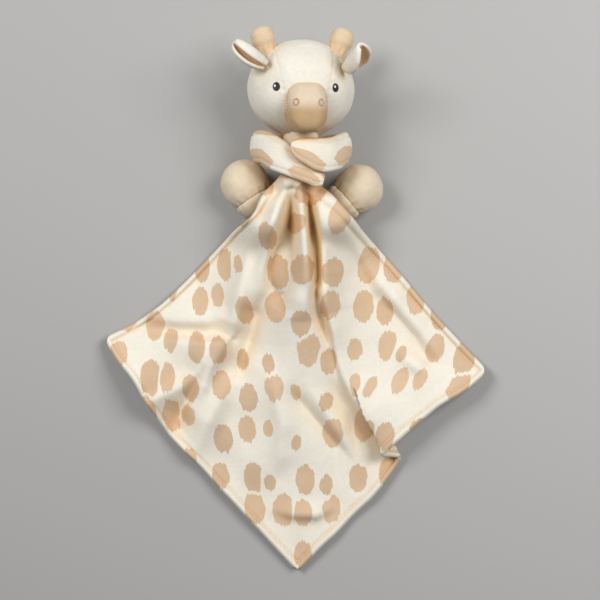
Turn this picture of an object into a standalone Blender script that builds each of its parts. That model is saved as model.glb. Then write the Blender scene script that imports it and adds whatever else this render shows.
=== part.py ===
"""Comfort blanket lovey: a plush animal's head and paws on a square two-layer blanket.

The toy lies on its back. +Z points up from the floor, +Y towards the crown of the head, and the
blanket's bottom corner points towards -Y. The origin is the middle of the footprint, on the floor.
All lengths are in metres. The cloth's height is a sum of named folds that spread from the throat.
"""

import math

import bmesh
import bpy
import numpy as np
from mathutils import Matrix, Vector
from mathutils.bvhtree import BVHTree

# Fabric and clearances
PILE_WALL = 0.0022  # short-pile fabric of the head, arms and body
SEAM_GAP = 0.0003  # left between pieces that touch
FLAT_DEPTH = 0.0005  # how deep a soft form is flattened where it lies on the floor
OVERRUN = 0.004  # how far a cutter runs past what it cuts
TURN = 2 * math.pi
FINE_ROWS = 200  # how finely a table's curve is read

# Head
HEAD_X = 0.0046
HEAD_Y = 0.2062
HEAD_HALF_WIDTH = 0.052
HEAD_HALF_HEIGHT = 0.0477
HEAD_HALF_DEPTH = 0.0470
HEAD_Z = HEAD_HALF_DEPTH - FLAT_DEPTH
HEAD_REST_TURN = math.radians(7)  # the face looks a little to one side
HEAD_SIDES = 28
HEAD_RINGS = 18

# Muzzle, from the middle of the head
MUZZLE_HALF_WIDTH = 0.0203
MUZZLE_HALF_HEIGHT = 0.0247
MUZZLE_HALF_DEPTH = 0.0300
MUZZLE_DROP = 0.0190
MUZZLE_FORWARD = 0.0300
MUZZLE_SLOPE = 0.0080  # how much lower the nose end is than the root
MUZZLE_SQUARE_SHARE = 0.62  # 1 is round, less is squarer
MUZZLE_BULGE_SHARE = 1.19  # how far the squared form's corners may stand out
MUZZLE_SIDES = 20
MUZZLE_RINGS = 12

# Embroidered eyes and nostrils
EYE_SPREAD = 0.0280
EYE_DROP = 0.0033
EYE_HALF_WIDTH = 0.0040
EYE_HALF_HEIGHT = 0.0044
EYE_RAISE = 0.0016
NOSTRIL_SPREAD = 0.0116
NOSTRIL_DROP = 0.0200
NOSTRIL_HALF_WIDTH = 0.0028
NOSTRIL_HALF_HEIGHT = 0.0038
NOSTRIL_THREAD = 0.0007
NOSTRIL_POINTS = 14

# Horns
HORN_BASE = (0.0312, 0.0268, 0.0085)  # from the middle of the head, on the toy's one side
HORN_LEAN = (0.33, 0.94, 0.12)
HORN_LENGTH = 0.0330
HORN_RADIUS = 0.0117
HORN_PROFILE_SHARES = ((0.0, 0.84), (0.25, 0.80), (0.42, 0.86), (0.60, 1.0), (0.78, 0.97),
                       (0.91, 0.76), (0.98, 0.38), (1.0, 0.0))
HORN_SIDES = 14

# Ears
EAR_LENGTH = 0.0370
EAR_HALF_WIDTH = 0.0200
EAR_OUTER_THICKNESS = 0.0018
EAR_LINING_THICKNESS = 0.0012
EAR_BASE = (0.0365, 0.0190, 0.0275)
# From the head's fabric to the line that each ear folds on
LEFT_EAR_STAND_OFF = 0.0013
RIGHT_EAR_STAND_OFF = 0.0018
EAR_WIDTH_SHARES = ((0.0, 0.46), (0.22, 0.84), (0.50, 1.0), (0.76, 0.88), (0.92, 0.60), (1.0, 0.32))
EAR_ROWS = 8
EAR_COLUMNS = 7
LEFT_EAR_LEAN = (-0.80, 0.50, 0.22)
LEFT_EAR_OPENING = (-0.25, -0.46, 0.85)
LEFT_EAR_FOLDS = (math.radians(163), math.radians(156))  # half angles at the root and tip
RIGHT_EAR_LEAN = (0.27, 0.39, 0.88)
RIGHT_EAR_OPENING = (0.62, -0.62, 0.20)
RIGHT_EAR_FOLDS = (math.radians(135), math.radians(105))

# Body, a pear that narrows into a round neck
BODY_X = 0.0016
BODY_BOTTOM_Y = 0.0024
BODY_HALF_WIDTH = 0.0225
BODY_HALF_DEPTH = 0.0165
NECK_RADIUS = 0.0170
NECK_INSERT = 0.0060  # how far the neck goes up into the head
# Share of the length, share of the belly's section, share of the neck's section
BODY_PROFILE_SHARES = ((0.0, 0.0, 0.0), (0.02, 0.35, 0.0), (0.07, 0.70, 0.0), (0.16, 0.93, 0.0),
                       (0.30, 1.0, 0.0), (0.45, 0.96, 0.0), (0.60, 0.68, 0.20), (0.70, 0.40, 0.50),
                       (0.80, 0.10, 0.88), (0.87, 0.0, 1.0), (1.0, 0.0, 1.0))
BODY_SIDES = 20
BODY_RINGS = 18
BODY_FIRST_SHARE = 0.018

# Arms
ARM_LENGTH = 0.0740
HOOF_RADIUS = 0.0240
ARM_FLATTEN_SHARE = 0.92
ARM_ROOT_RADIUS = 0.0128
ARM_ROOT_SINK = 0.0004  # moves the arms in, as their roots are less than round
# Share of the length, share of the hoof's radius
ARM_PROFILE_SHARES = ((0.0, 0.0), (0.03, 0.28), (0.10, 0.50), (0.18, 0.567), (0.29, 0.76),
                      (0.40, 0.85), (0.46, 0.83), (0.54, 0.93), (0.66, 1.0), (0.79, 0.95),
                      (0.90, 0.72), (0.975, 0.36), (1.0, 0.0))
ARM_SIDES = 16
ARM_RINGS = 18
HOOF_SEAM_SHARE = 0.45
LEFT_SHOULDER_Y = 0.0862
LEFT_ARM_HEADING = math.radians(122)
RIGHT_SHOULDER_Y = 0.0880
RIGHT_ARM_HEADING = math.radians(42)
ARM_COVER_REACH = 0.0280  # how far from an arm's middle the cloth over it has come half way down
ARM_ROOM = 0.0120  # under the cloth, for the arm to lift

# Blanket
CLOTH_SIDE = 0.3050
CLOTH_CORNER = 0.0080
FRONT_THICKNESS = 0.0018
BACK_THICKNESS = 0.0015
CLOTH_X = -0.0041  # where the gathered corner is tucked in at the throat
CLOTH_Y = 0.1344
CLOTH_COLUMNS = 28  # they fan out from the throat, as the folds do
CLOTH_ROWS = 20
CLOTH_ROW_POWER = 1.15  # above 1 the rows are finer towards the throat
CLOTH_START_SHARE = 0.045  # the gathered tip that is left out
# How much of the flat length shows from above, towards the left, bottom and right corners
LEFT_REACH_SHARE = 0.828
BOTTOM_REACH_SHARE = 0.933
RIGHT_REACH_SHARE = 0.922
# Share of the cloth's side from the throat, share by which the side hems stand out there
LEFT_SPREAD_SHARES = ((0.0, 1.0), (0.12, 0.98), (0.20, 0.84), (0.29, 0.94), (0.60, 0.97),
                      (0.85, 1.06))
RIGHT_SPREAD_SHARES = ((0.0, 1.0), (0.11, 1.18), (0.24, 1.08), (0.45, 1.025), (0.66, 0.985),
                       (0.92, 0.965))
HUMP_TOP = 0.0620  # the cloth's height over the chest
HUMP_LENGTH = 0.1950
HUMP_HALF_WIDTH = 0.0300
# Share of the hump's length from the throat, share of its height
HUMP_SHARES = ((0.0, 1.0), (0.20, 0.76), (0.45, 0.62), (0.66, 0.54), (0.80, 0.40), (0.90, 0.12),
               (1.0, 0.0))
CLOTH_SETTLE = 0.0020  # how much the low edges of the hump are pressed to the floor
CLOTH_CLEAR = 0.0012  # between the body and the cloth over it
CLOTH_MARGIN = 0.0080  # how far out past the body's sides the cloth stays up
# Folds: heading from straight down (left is positive), half spread, height, and how far from the
# throat each begins, is full, starts to fade and ends
FOLDS = (
    (math.radians(27), math.radians(8.0), 0.0150, (0.020, 0.050, 0.100, 0.240)),
    (math.radians(-7), math.radians(6.0), 0.0140, (0.022, 0.050, 0.130, 0.172)),
    (math.radians(-31), math.radians(7.0), 0.0130, (0.020, 0.055, 0.120, 0.250)),
    (math.radians(-18), math.radians(5.5), -0.0120, (0.025, 0.060, 0.125, 0.165)),
    (math.radians(7), math.radians(6.5), -0.0060, (0.040, 0.080, 0.135, 0.165)),
    (math.radians(38), math.radians(4.5), 0.0060, (0.130, 0.160, 0.190, 0.235)),
    (math.radians(-12), math.radians(4.0), 0.0040, (0.165, 0.185, 0.200, 0.240)),
)
# A pleat in the lower right hem, where the cloth to its right is drawn in and stands up
PLEAT_HEADING = math.radians(-20.0)
PLEAT_STEP = math.radians(3.2)
PLEAT_FADE_HEADING = math.radians(-43.0)
PLEAT_PULL = 0.0240
PLEAT_HEIGHT = 0.0130
PLEAT_REACH = 0.2900
PLEAT_LENGTH = 0.0650

# Neck wrap, a hemmed band wound once round the neck and crossed in front
WRAP_Y = 0.1484
WRAP_HALF_SPAN = 0.0420
WRAP_FRONT_RISE = 0.0250
WRAP_BACK_RISE = 0.0219
WRAP_OVERLAP_STEP = 0.0092
WRAP_START = math.radians(60)
WRAP_END = math.radians(463)
WRAP_HALF_WIDTH = 0.0170
WRAP_HALF_THICKNESS = 0.0075
# Share of the winding, share of the half width, share of the half thickness, drop below the neck
WRAP_SHARES = ((0.0, 0.48, 0.50), (0.074, 0.64, 0.56), (0.149, 0.90, 0.62), (0.223, 0.95, 0.80),
               (0.298, 0.95, 1.0), (0.521, 0.82, 0.62), (0.744, 0.93, 1.0), (0.806, 0.92, 0.80),
               (0.844, 0.94, 0.66), (0.893, 0.96, 0.58), (0.943, 0.80, 0.56), (0.968, 0.68, 0.54),
               (1.0, 0.42, 0.50))
WRAP_DROPS = ((0.0, 0.0330), (0.074, 0.0215), (0.149, 0.0085), (0.223, -0.0010), (0.298, -0.0020),
              (0.521, -0.0010), (0.744, -0.0010), (0.806, 0.0020), (0.844, 0.0060),
              (0.893, 0.0085), (0.943, 0.0050), (0.968, 0.0030), (1.0, 0.0))
WRAP_STEP_START_SHARE = 0.76
WRAP_STEP_END_SHARE = 0.875
WRAP_END_ROUND = 0.0080
WRAP_STATIONS = 48
WRAP_SIDES = 10
WRAP_LOOK_SHARE = 0.004
WRAP_OUT_SHARE = 2.4  # the band faces forwards more than a round winding would
WRAP_TIP_SHARE = 0.16

PAINTS = {
    "cream_plush": ((0.86, 0.82, 0.74, 1.0), 0.95),
    "tan_plush": ((0.76, 0.60, 0.42, 1.0), 0.95),
    "hoof_plush": ((0.76, 0.64, 0.48, 1.0), 0.95),
    "printed_velour": ((0.85, 0.78, 0.68, 1.0), 0.90),
    "plain_backing": ((0.84, 0.80, 0.72, 1.0), 0.85),
    "eye_thread": ((0.015, 0.014, 0.013, 1.0), 0.45),
    "nostril_thread": ((0.35, 0.22, 0.19, 1.0), 0.60),
    "fibre_filling": ((0.90, 0.90, 0.88, 1.0), 1.0),
}


# Scene set-up


def clear_scene():
    for old in list(bpy.data.objects):
        bpy.data.objects.remove(old, do_unlink=True)


def collection(name):
    made = bpy.data.collections.new(name)
    bpy.context.scene.collection.children.link(made)
    return made


def paint(name):
    if name in bpy.data.materials:
        return bpy.data.materials[name]
    colour, roughness = PAINTS[name]
    made = bpy.data.materials.new(name)
    made.use_nodes = True
    shader = made.node_tree.nodes["Principled BSDF"]
    shader.inputs["Base Color"].default_value = colour
    shader.inputs["Roughness"].default_value = roughness
    shader.inputs["Metallic"].default_value = 0
    made.diffuse_color = colour
    return made


clear_scene()
PARTS = collection("comfort_blanket_lovey")
CUTTERS = collection("cutters")


def place(name, mesh, where, paint_name=None, parent=None):
    """Turns a bmesh into an object of a collection, smooth where it is round."""
    data = bpy.data.meshes.new(name)
    mesh.to_mesh(data)
    mesh.free()
    data.shade_smooth()
    made = bpy.data.objects.new(name, data)
    if paint_name:
        data.materials.append(paint(paint_name))
    where.objects.link(made)
    made.parent = parent
    if where is CUTTERS:
        made.hide_render = True
        made.display_type = "WIRE"
    return made


def pivot(name, at, turn=None, parent=None):
    """An empty on a joint's axis, which carries the pieces that move."""
    made = bpy.data.objects.new(name, None)
    made.location = at
    if turn:
        made.rotation_euler = turn
    made.parent = parent
    PARTS.objects.link(made)
    return made


# Modifiers


def inset(piece, depth):
    """Moves a whole surface along its normals, inwards for a positive depth."""
    move = piece.modifiers.new("inset", "DISPLACE")
    move.mid_level = 0
    move.strength = -depth
    return piece


def hollow(piece, wall):
    shell = piece.modifiers.new("wall", "SOLIDIFY")
    shell.thickness = wall
    shell.offset = -1
    return piece


def cut(piece, *cutters):
    for cutter in cutters:
        bite = piece.modifiers.new("cut", "BOOLEAN")
        bite.operation = "DIFFERENCE"
        bite.solver = "EXACT"
        bite.object = cutter
    return piece


def join(piece, other):
    union = piece.modifiers.new("join", "BOOLEAN")
    union.operation = "UNION"
    union.solver = "EXACT"
    union.object = other
    return piece


# Curves and sections


def level_slopes(table, knots):
    """Slopes for a curve that never rises or falls past its knots."""
    steps = np.diff(table, axis=0) / np.diff(knots)[:, None]
    slopes = np.zeros_like(table)
    slopes[0], slopes[-1] = steps[0], steps[-1]
    before, after = steps[:-1], steps[1:]
    same = before * after > 0
    total = np.where(same, before + after, 1)
    slopes[1:-1] = np.where(same, 2 * before * after / total, 0)
    return slopes


def through(table, count):
    """Rows of a table spread evenly along its first column, on a smooth curve through it."""
    table = np.array(table, float)
    knots = table[:, 0]
    slopes = level_slopes(table, knots)
    rows = []
    for at in np.linspace(knots[0], knots[-1], count):
        i = min(max(int(np.searchsorted(knots, at)) - 1, 0), len(knots) - 2)
        width = knots[i + 1] - knots[i]
        t = (at - knots[i]) / width
        rows.append(
            (2 * t**3 - 3 * t**2 + 1) * table[i]
            + (t**3 - 2 * t**2 + t) * width * slopes[i]
            + (3 * t**2 - 2 * t**3) * table[i + 1]
            + (t**3 - t**2) * width * slopes[i + 1]
        )
    return np.array(rows)


def rounded_steps(count):
    """Shares from 0 to 1 that crowd towards both ends, where a form rounds off."""
    return [(1 - math.cos(math.pi * i / count)) / 2 for i in range(count + 1)]


def read_table(table, at):
    """Each column of a table at one place on its smooth curve."""
    table = np.array(table, float)
    fine = through(table, FINE_ROWS)
    return [float(np.interp(at, fine[:, 0], fine[:, k])) for k in range(1, table.shape[1])]


def smooth_step(low, high, value):
    t = np.clip((value - low) / (high - low), 0, 1)
    return t * t * (3 - 2 * t)


def loft(rings, first, last):
    """Skins a body over rings of points, with a pole at each end, or None where it stays open."""
    mesh = bmesh.new()
    rows = [[mesh.verts.new(p) for p in ring] for ring in rings]
    for near, far in zip(rows, rows[1:]):
        for i in range(len(near)):
            j = (i + 1) % len(near)
            mesh.faces.new((near[i], near[j], far[j], far[i]))
    for row, pole in ((rows[0], first), (rows[-1], last)):
        if pole is None:
            continue
        tip = mesh.verts.new(pole)
        for i in range(len(row)):
            mesh.faces.new((row[i], row[(i + 1) % len(row)], tip))
    bmesh.ops.recalc_face_normals(mesh, faces=mesh.faces)
    return mesh


def ring(centre, side, up, half_width, half_depth, sides):
    """An ellipse of points about a centre."""
    points = []
    for i in range(sides):
        angle = TURN * i / sides
        points.append(
            centre + side * (half_width * math.cos(angle)) + up * (half_depth * math.sin(angle))
        )
    return points


def layer(top, bottom):
    """A closed sheet between two grids of points of the same size."""
    mesh = bmesh.new()
    grids = [[[mesh.verts.new(p) for p in row] for row in grid] for grid in (top, bottom)]
    rows, columns = len(top), len(top[0])
    for grid in grids:
        for i in range(rows - 1):
            for j in range(columns - 1):
                mesh.faces.new((grid[i][j], grid[i + 1][j], grid[i + 1][j + 1], grid[i][j + 1]))
    edge = [(0, j) for j in range(columns)]
    edge += [(i, columns - 1) for i in range(1, rows)]
    edge += [(rows - 1, j) for j in range(columns - 2, -1, -1)]
    edge += [(i, 0) for i in range(rows - 2, 0, -1)]
    for (i, j), (k, m) in zip(edge, edge[1:] + edge[:1]):
        mesh.faces.new((grids[0][i][j], grids[0][k][m], grids[1][k][m], grids[1][i][j]))
    bmesh.ops.recalc_face_normals(mesh, faces=mesh.faces)
    return mesh


# Head and muzzle


def ball(half_sizes, sides, rings):
    """A round form with its poles towards the crown and the neck."""
    mesh = bmesh.new()
    bmesh.ops.create_uvsphere(mesh, u_segments=sides, v_segments=rings, radius=1)
    bmesh.ops.rotate(mesh, verts=mesh.verts, matrix=Matrix.Rotation(-math.pi / 2, 3, "X"))
    bmesh.ops.scale(mesh, verts=mesh.verts, vec=half_sizes)
    return mesh


def head_ball(name, where, depth, paint_name=None, parent=None):
    mesh = ball((HEAD_HALF_WIDTH, HEAD_HALF_HEIGHT, HEAD_HALF_DEPTH), HEAD_SIDES, HEAD_RINGS)
    return inset(place(name, mesh, where, paint_name, parent), depth)


def muzzle_mesh():
    """A squared round form that slopes down towards the nose."""
    mesh = bmesh.new()
    bmesh.ops.create_uvsphere(mesh, u_segments=MUZZLE_SIDES, v_segments=MUZZLE_RINGS, radius=1)
    for v in mesh.verts:
        x, y, z = (math.copysign(abs(c) ** MUZZLE_SQUARE_SHARE, c) for c in v.co)
        longest = max(1, math.sqrt(x * x + y * y + z * z) / MUZZLE_BULGE_SHARE)
        x, y, z = x / longest, y / longest, z / longest
        v.co = (
            MUZZLE_HALF_WIDTH * x,
            MUZZLE_HALF_HEIGHT * y - MUZZLE_DROP - MUZZLE_SLOPE * z,
            MUZZLE_HALF_DEPTH * z + MUZZLE_FORWARD,
        )
    return mesh


def muzzle_form(name, where, depth, paint_name=None, parent=None):
    return inset(place(name, muzzle_mesh(), where, paint_name, parent), depth)


def face_point(tree, x, y):
    """Where a line straight into the face meets a surface, and the surface's normal there."""
    start = Vector((x, y, MUZZLE_FORWARD + MUZZLE_HALF_DEPTH + OVERRUN))
    spot, normal, _, _ = tree.ray_cast(start, Vector((0, 0, -1)))
    return spot, normal


def neck_rod(name, radius, bottom, top):
    """A cutter rod along the neck's axis, from one height to another."""
    mesh = bmesh.new()
    bmesh.ops.create_cone(
        mesh, cap_ends=True, segments=HEAD_SIDES, radius1=radius, radius2=radius,
        depth=top - bottom,
        matrix=Matrix.Translation((HEAD_X, (top + bottom) / 2, HEAD_Z))
        @ Matrix.Rotation(-math.pi / 2, 4, "X"),
    )
    return place(name, mesh, CUTTERS)


def floor_cutter():
    """A block whose top is the floor, for flattening what lies on it."""
    mesh = bmesh.new()
    bmesh.ops.create_cube(mesh, size=1)
    bmesh.ops.scale(mesh, verts=mesh.verts, vec=(4 * CLOTH_SIDE, 4 * CLOTH_SIDE, CLOTH_CORNER))
    bmesh.ops.translate(mesh, verts=mesh.verts, vec=(0, 0, -CLOTH_CORNER / 2))
    return place("floor_cutter", mesh, CUTTERS)


NECK_TOP_Y = HEAD_Y - HEAD_HALF_HEIGHT + NECK_INSERT

floor = floor_cutter()
head_pivot = pivot("head_pivot", (HEAD_X, HEAD_Y, HEAD_Z), (0, HEAD_REST_TURN, 0))
NECK_HOLE_RADIUS = NECK_RADIUS + SEAM_GAP
neck_hole = neck_rod("neck_hole_cutter", NECK_HOLE_RADIUS, BODY_BOTTOM_Y, NECK_TOP_Y + OVERRUN)
neck_seat = neck_rod("neck_seat_cutter", NECK_HOLE_RADIUS, BODY_BOTTOM_Y, NECK_TOP_Y + SEAM_GAP)


def build_head():
    opening = muzzle_form("muzzle_opening_cutter", CUTTERS, -SEAM_GAP, parent=head_pivot)
    inner_wall = head_ball("head_inner_cutter", CUTTERS, PILE_WALL, parent=head_pivot)
    skin = head_ball("head_skin", PARTS, 0, "cream_plush", head_pivot)
    cut(hollow(skin, PILE_WALL), neck_hole, opening, floor)

    muzzle = muzzle_form("muzzle_skin", PARTS, 0, "tan_plush", head_pivot)
    cut(hollow(muzzle, PILE_WALL), inner_wall)

    fill_depth = PILE_WALL + SEAM_GAP
    muzzle_fill = muzzle_form("muzzle_fill_cutter", CUTTERS, fill_depth, parent=head_pivot)
    filling = head_ball("head_filling", PARTS, fill_depth, "fibre_filling", head_pivot)
    cut(join(filling, muzzle_fill), neck_seat)


def build_eyes():
    head = ball((HEAD_HALF_WIDTH, HEAD_HALF_HEIGHT, HEAD_HALF_DEPTH), HEAD_SIDES, HEAD_RINGS)
    tree = BVHTree.FromBMesh(head)
    head.free()
    socket = head_ball("eye_seat_cutter", CUTTERS, -SEAM_GAP, parent=head_pivot)
    for name, side in (("left_eye", -1), ("right_eye", 1)):
        spot, normal = face_point(tree, side * EYE_SPREAD, -EYE_DROP)
        mesh = bmesh.new()
        bmesh.ops.create_uvsphere(mesh, u_segments=12, v_segments=8, radius=1)
        bmesh.ops.scale(mesh, verts=mesh.verts, vec=(EYE_HALF_WIDTH, EYE_HALF_HEIGHT, EYE_RAISE))
        eye = place(name, mesh, PARTS, "eye_thread", head_pivot)
        eye.location = spot
        eye.rotation_euler = normal.to_track_quat("Z", "Y").to_euler()
        cut(eye, socket)


def build_nostrils():
    muzzle = muzzle_mesh()
    tree = BVHTree.FromBMesh(muzzle)
    muzzle.free()
    lift = NOSTRIL_THREAD + 2 * SEAM_GAP
    for name, side in (("left_nostril", -1), ("right_nostril", 1)):
        _, facing = face_point(tree, side * NOSTRIL_SPREAD, -NOSTRIL_DROP)
        line = bpy.data.curves.new(name, "CURVE")
        line.dimensions = "3D"
        line.bevel_depth = NOSTRIL_THREAD
        line.bevel_resolution = 1
        spline = line.splines.new("POLY")
        spline.points.add(NOSTRIL_POINTS - 1)
        spline.use_cyclic_u = True
        for i, point in enumerate(spline.points):
            angle = TURN * i / NOSTRIL_POINTS
            spot, normal = face_point(
                tree,
                side * NOSTRIL_SPREAD + NOSTRIL_HALF_WIDTH * math.cos(angle),
                -NOSTRIL_DROP + NOSTRIL_HALF_HEIGHT * math.sin(angle),
            )
            point.co = (*(spot + (normal + facing).normalized() * lift), 1)
        thread = bpy.data.objects.new(name, line)
        line.materials.append(paint("nostril_thread"))
        PARTS.objects.link(thread)
        thread.parent = head_pivot


# Horns


def horn_form(name, depth, paint_name, side):
    """A turned knob on a short stalk, standing on the crown."""
    table = [(share * HORN_LENGTH, radius * HORN_RADIUS) for share, radius in HORN_PROFILE_SHARES]
    mesh = bmesh.new()
    points = [mesh.verts.new((radius, 0, along)) for along, radius in reversed(table)]
    points.append(mesh.verts.new((0, 0, 0)))
    for a, b in zip(points, points[1:]):
        mesh.edges.new((a, b))
    horn = place(name, mesh, PARTS, paint_name, head_pivot)
    spin = horn.modifiers.new("turn", "SCREW")
    spin.axis = "Z"
    spin.steps = HORN_SIDES
    spin.render_steps = HORN_SIDES
    spin.use_merge_vertices = True
    spin.merge_threshold = SEAM_GAP / 10
    spin.use_smooth_shade = True
    x, y, z = HORN_BASE
    lean_x, lean_y, lean_z = HORN_LEAN
    horn.location = (side * x, y, z)
    lean = Vector((side * lean_x, lean_y, lean_z))
    horn.rotation_euler = lean.to_track_quat("Z", "Y").to_euler()
    return inset(horn, depth)


def build_horns():
    seat = head_ball("horn_seat_cutter", CUTTERS, -SEAM_GAP, parent=head_pivot)
    filling_seat = head_ball("horn_filling_seat_cutter", CUTTERS, -PILE_WALL, parent=head_pivot)
    for name, side in (("left_horn", -1), ("right_horn", 1)):
        skin = horn_form(name + "_skin", 0, "tan_plush", side)
        cut(hollow(skin, PILE_WALL), seat)
        filling = horn_form(name + "_filling", PILE_WALL + SEAM_GAP, "fibre_filling", side)
        cut(filling, filling_seat)


# Ears


def ear_grid(folds, depth):
    """Points of a folded leaf, moved out from its middle surface by a depth."""
    grid = []
    for i in range(EAR_ROWS + 1):
        along = i / EAR_ROWS
        half_width = read_table(EAR_WIDTH_SHARES, along)[0] * EAR_HALF_WIDTH
        fold = folds[0] + (folds[1] - folds[0]) * along
        radius = half_width / fold
        row = []
        for j in range(EAR_COLUMNS + 1):
            angle = fold * (2 * j / EAR_COLUMNS - 1)
            out = radius + depth
            row.append((out * math.sin(angle), radius - out * math.cos(angle), along * EAR_LENGTH))
        grid.append(row)
    return grid


def ear_frame(side, lean, opening, stand_off):
    """The pivot of an ear: its Z runs along the ear and its Y towards the fold's opening."""
    away = Vector((side * EAR_BASE[0], EAR_BASE[1], EAR_BASE[2]))
    along = Vector(lean).normalized()
    across = Vector(opening).cross(along).normalized()
    facing = along.cross(across)
    turned = Matrix((across, facing, along)).transposed()
    reach = math.sqrt(
        1
        / (
            (away.x / HEAD_HALF_WIDTH) ** 2
            + (away.y / HEAD_HALF_HEIGHT) ** 2
            + (away.z / HEAD_HALF_DEPTH) ** 2
        )
    )
    surface = away * reach
    return surface + away.normalized() * stand_off, turned.to_euler()


def build_ears():
    half_gap = SEAM_GAP / 2
    left = LEFT_EAR_LEAN, LEFT_EAR_OPENING, LEFT_EAR_STAND_OFF
    right = RIGHT_EAR_LEAN, RIGHT_EAR_OPENING, RIGHT_EAR_STAND_OFF
    for name, side, ways, folds in (
        ("left_ear", -1, left, LEFT_EAR_FOLDS),
        ("right_ear", 1, right, RIGHT_EAR_FOLDS),
    ):
        at, turned = ear_frame(side, *ways)
        root = pivot(name + "_pivot", at, turned, head_pivot)
        outer = layer(ear_grid(folds, half_gap + EAR_OUTER_THICKNESS), ear_grid(folds, half_gap))
        place(name + "_outer", outer, PARTS, "cream_plush", root)
        inside = ear_grid(folds, -half_gap - EAR_LINING_THICKNESS)
        lining = layer(ear_grid(folds, -half_gap), inside)
        place(name + "_lining", lining, PARTS, "tan_plush", root)


# Body


def body_section(share):
    """Centre and half sizes of the body's section at a share of its length."""
    belly, neck = read_table(BODY_PROFILE_SHARES, share)
    belly, neck = max(belly, 0), max(neck, 0)
    belly_z = BODY_HALF_DEPTH - FLAT_DEPTH
    centre = Vector((
        BODY_X + (HEAD_X - BODY_X) * neck,
        BODY_BOTTOM_Y + (NECK_TOP_Y - BODY_BOTTOM_Y) * share,
        belly_z + (HEAD_Z - belly_z) * neck,
    ))
    half_width = belly * BODY_HALF_WIDTH + neck * NECK_RADIUS
    half_depth = belly * BODY_HALF_DEPTH + neck * NECK_RADIUS
    return centre, half_width, half_depth


def body_rings():
    side, up = Vector((1, 0, 0)), Vector((0, 0, 1))
    rings = []
    for share in [BODY_FIRST_SHARE] + [i / BODY_RINGS for i in range(1, BODY_RINGS + 1)]:
        centre, half_width, half_depth = body_section(share)
        rings.append(ring(centre, side, up, half_width, half_depth, BODY_SIDES))
    return rings


def build_body():
    bottom, top = body_section(0)[0], body_section(1)[0]
    side, up = Vector((1, 0, 0)), Vector((0, 0, 1))
    skin = place("body_skin", loft(body_rings(), bottom, None), PARTS, "cream_plush")
    cut(hollow(skin, PILE_WALL), floor)
    # The filling's top edge is drawn in, so that it stays inside the open neck
    narrow = NECK_RADIUS - PILE_WALL
    rings = body_rings()[:-1] + [ring(top, side, up, narrow, narrow, BODY_SIDES)]
    filling = place("body_filling", loft(rings, bottom, top), PARTS, "fibre_filling")
    inset(filling, PILE_WALL + SEAM_GAP)


# Arms

ARM_Z = HOOF_RADIUS * ARM_FLATTEN_SHARE - FLAT_DEPTH


def shoulder_point(side, y):
    """The middle of an arm's round root, which touches the body's side."""
    share = (y - BODY_BOTTOM_Y) / (NECK_TOP_Y - BODY_BOTTOM_Y)
    centre, half_width, _ = body_section(share)
    out = half_width + ARM_ROOT_RADIUS + SEAM_GAP - ARM_ROOT_SINK
    x = centre.x + side * out
    return Vector((x, y, ARM_Z))


def arm_rings(low, high):
    """Rings of a limb that swells from a round root to a wide hoof, along its own X."""
    side, up = Vector((0, 1, 0)), Vector((0, 0, 1))
    shares = [share for share in rounded_steps(ARM_RINGS)[1:-1] if low < share < high]
    shares = [low] * (low > 0) + shares + [high] * (high < 1)
    rings = []
    for share in shares:
        radius = read_table(ARM_PROFILE_SHARES, share)[0] * HOOF_RADIUS
        centre = Vector((share * ARM_LENGTH - ARM_ROOT_RADIUS, 0, 0))
        rings.append(ring(centre, side, up, radius, radius * ARM_FLATTEN_SHARE, ARM_SIDES))
    return rings


def build_arm(name, side, shoulder_y, heading):
    """A sleeve and a hoof, each open at the seam between them, round one filling."""
    root = pivot(name + "_arm_pivot", shoulder_point(side, shoulder_y), (0, 0, heading))
    start = Vector((-ARM_ROOT_RADIUS, 0, 0))
    tip = Vector((ARM_LENGTH - ARM_ROOT_RADIUS, 0, 0))
    half_gap = SEAM_GAP / 2 / ARM_LENGTH
    behind = arm_rings(0, HOOF_SEAM_SHARE - half_gap)
    beyond = arm_rings(HOOF_SEAM_SHARE + half_gap, 1)
    sleeve = place(name + "_arm_sleeve", loft(behind, start, None), PARTS, "cream_plush", root)
    cut(hollow(sleeve, PILE_WALL), floor)
    hoof = place(name + "_hoof", loft(beyond, None, tip), PARTS, "hoof_plush", root)
    cut(hollow(hoof, PILE_WALL), floor)
    whole = arm_rings(0, HOOF_SEAM_SHARE) + beyond
    filling = place(name + "_arm_filling", loft(whole, start, tip), PARTS, "fibre_filling", root)
    inset(filling, PILE_WALL + SEAM_GAP)


# Blanket


def fade(distance, marks):
    begins, full, fades, ends = marks
    return smooth_step(begins, full, distance) * (1 - smooth_step(fades, ends, distance))


def over_body(x, y):
    """The height at which cloth clears the body, for numpy arrays."""
    length = NECK_TOP_Y - BODY_BOTTOM_Y
    stations = np.linspace(0, 1, FINE_ROWS)
    sections = [body_section(s) for s in stations]
    share = (y - BODY_BOTTOM_Y) / length
    centre_x = np.interp(share, stations, [c.x for c, _, _ in sections])
    centre_z = np.interp(share, stations, [c.z for c, _, _ in sections])
    wide = np.interp(share, stations, [w for _, w, _ in sections], left=0)
    deep = np.interp(share, stations, [d for _, _, d in sections], left=0)
    off = np.abs(x - centre_x) / (wide + CLOTH_MARGIN)
    inside = (off < 1) & (share > 0)
    deep = deep + BACK_THICKNESS + CLOTH_CLEAR
    return np.where(inside, centre_z + deep * np.sqrt(np.maximum(1 - off**2, 0)), 0)


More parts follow.
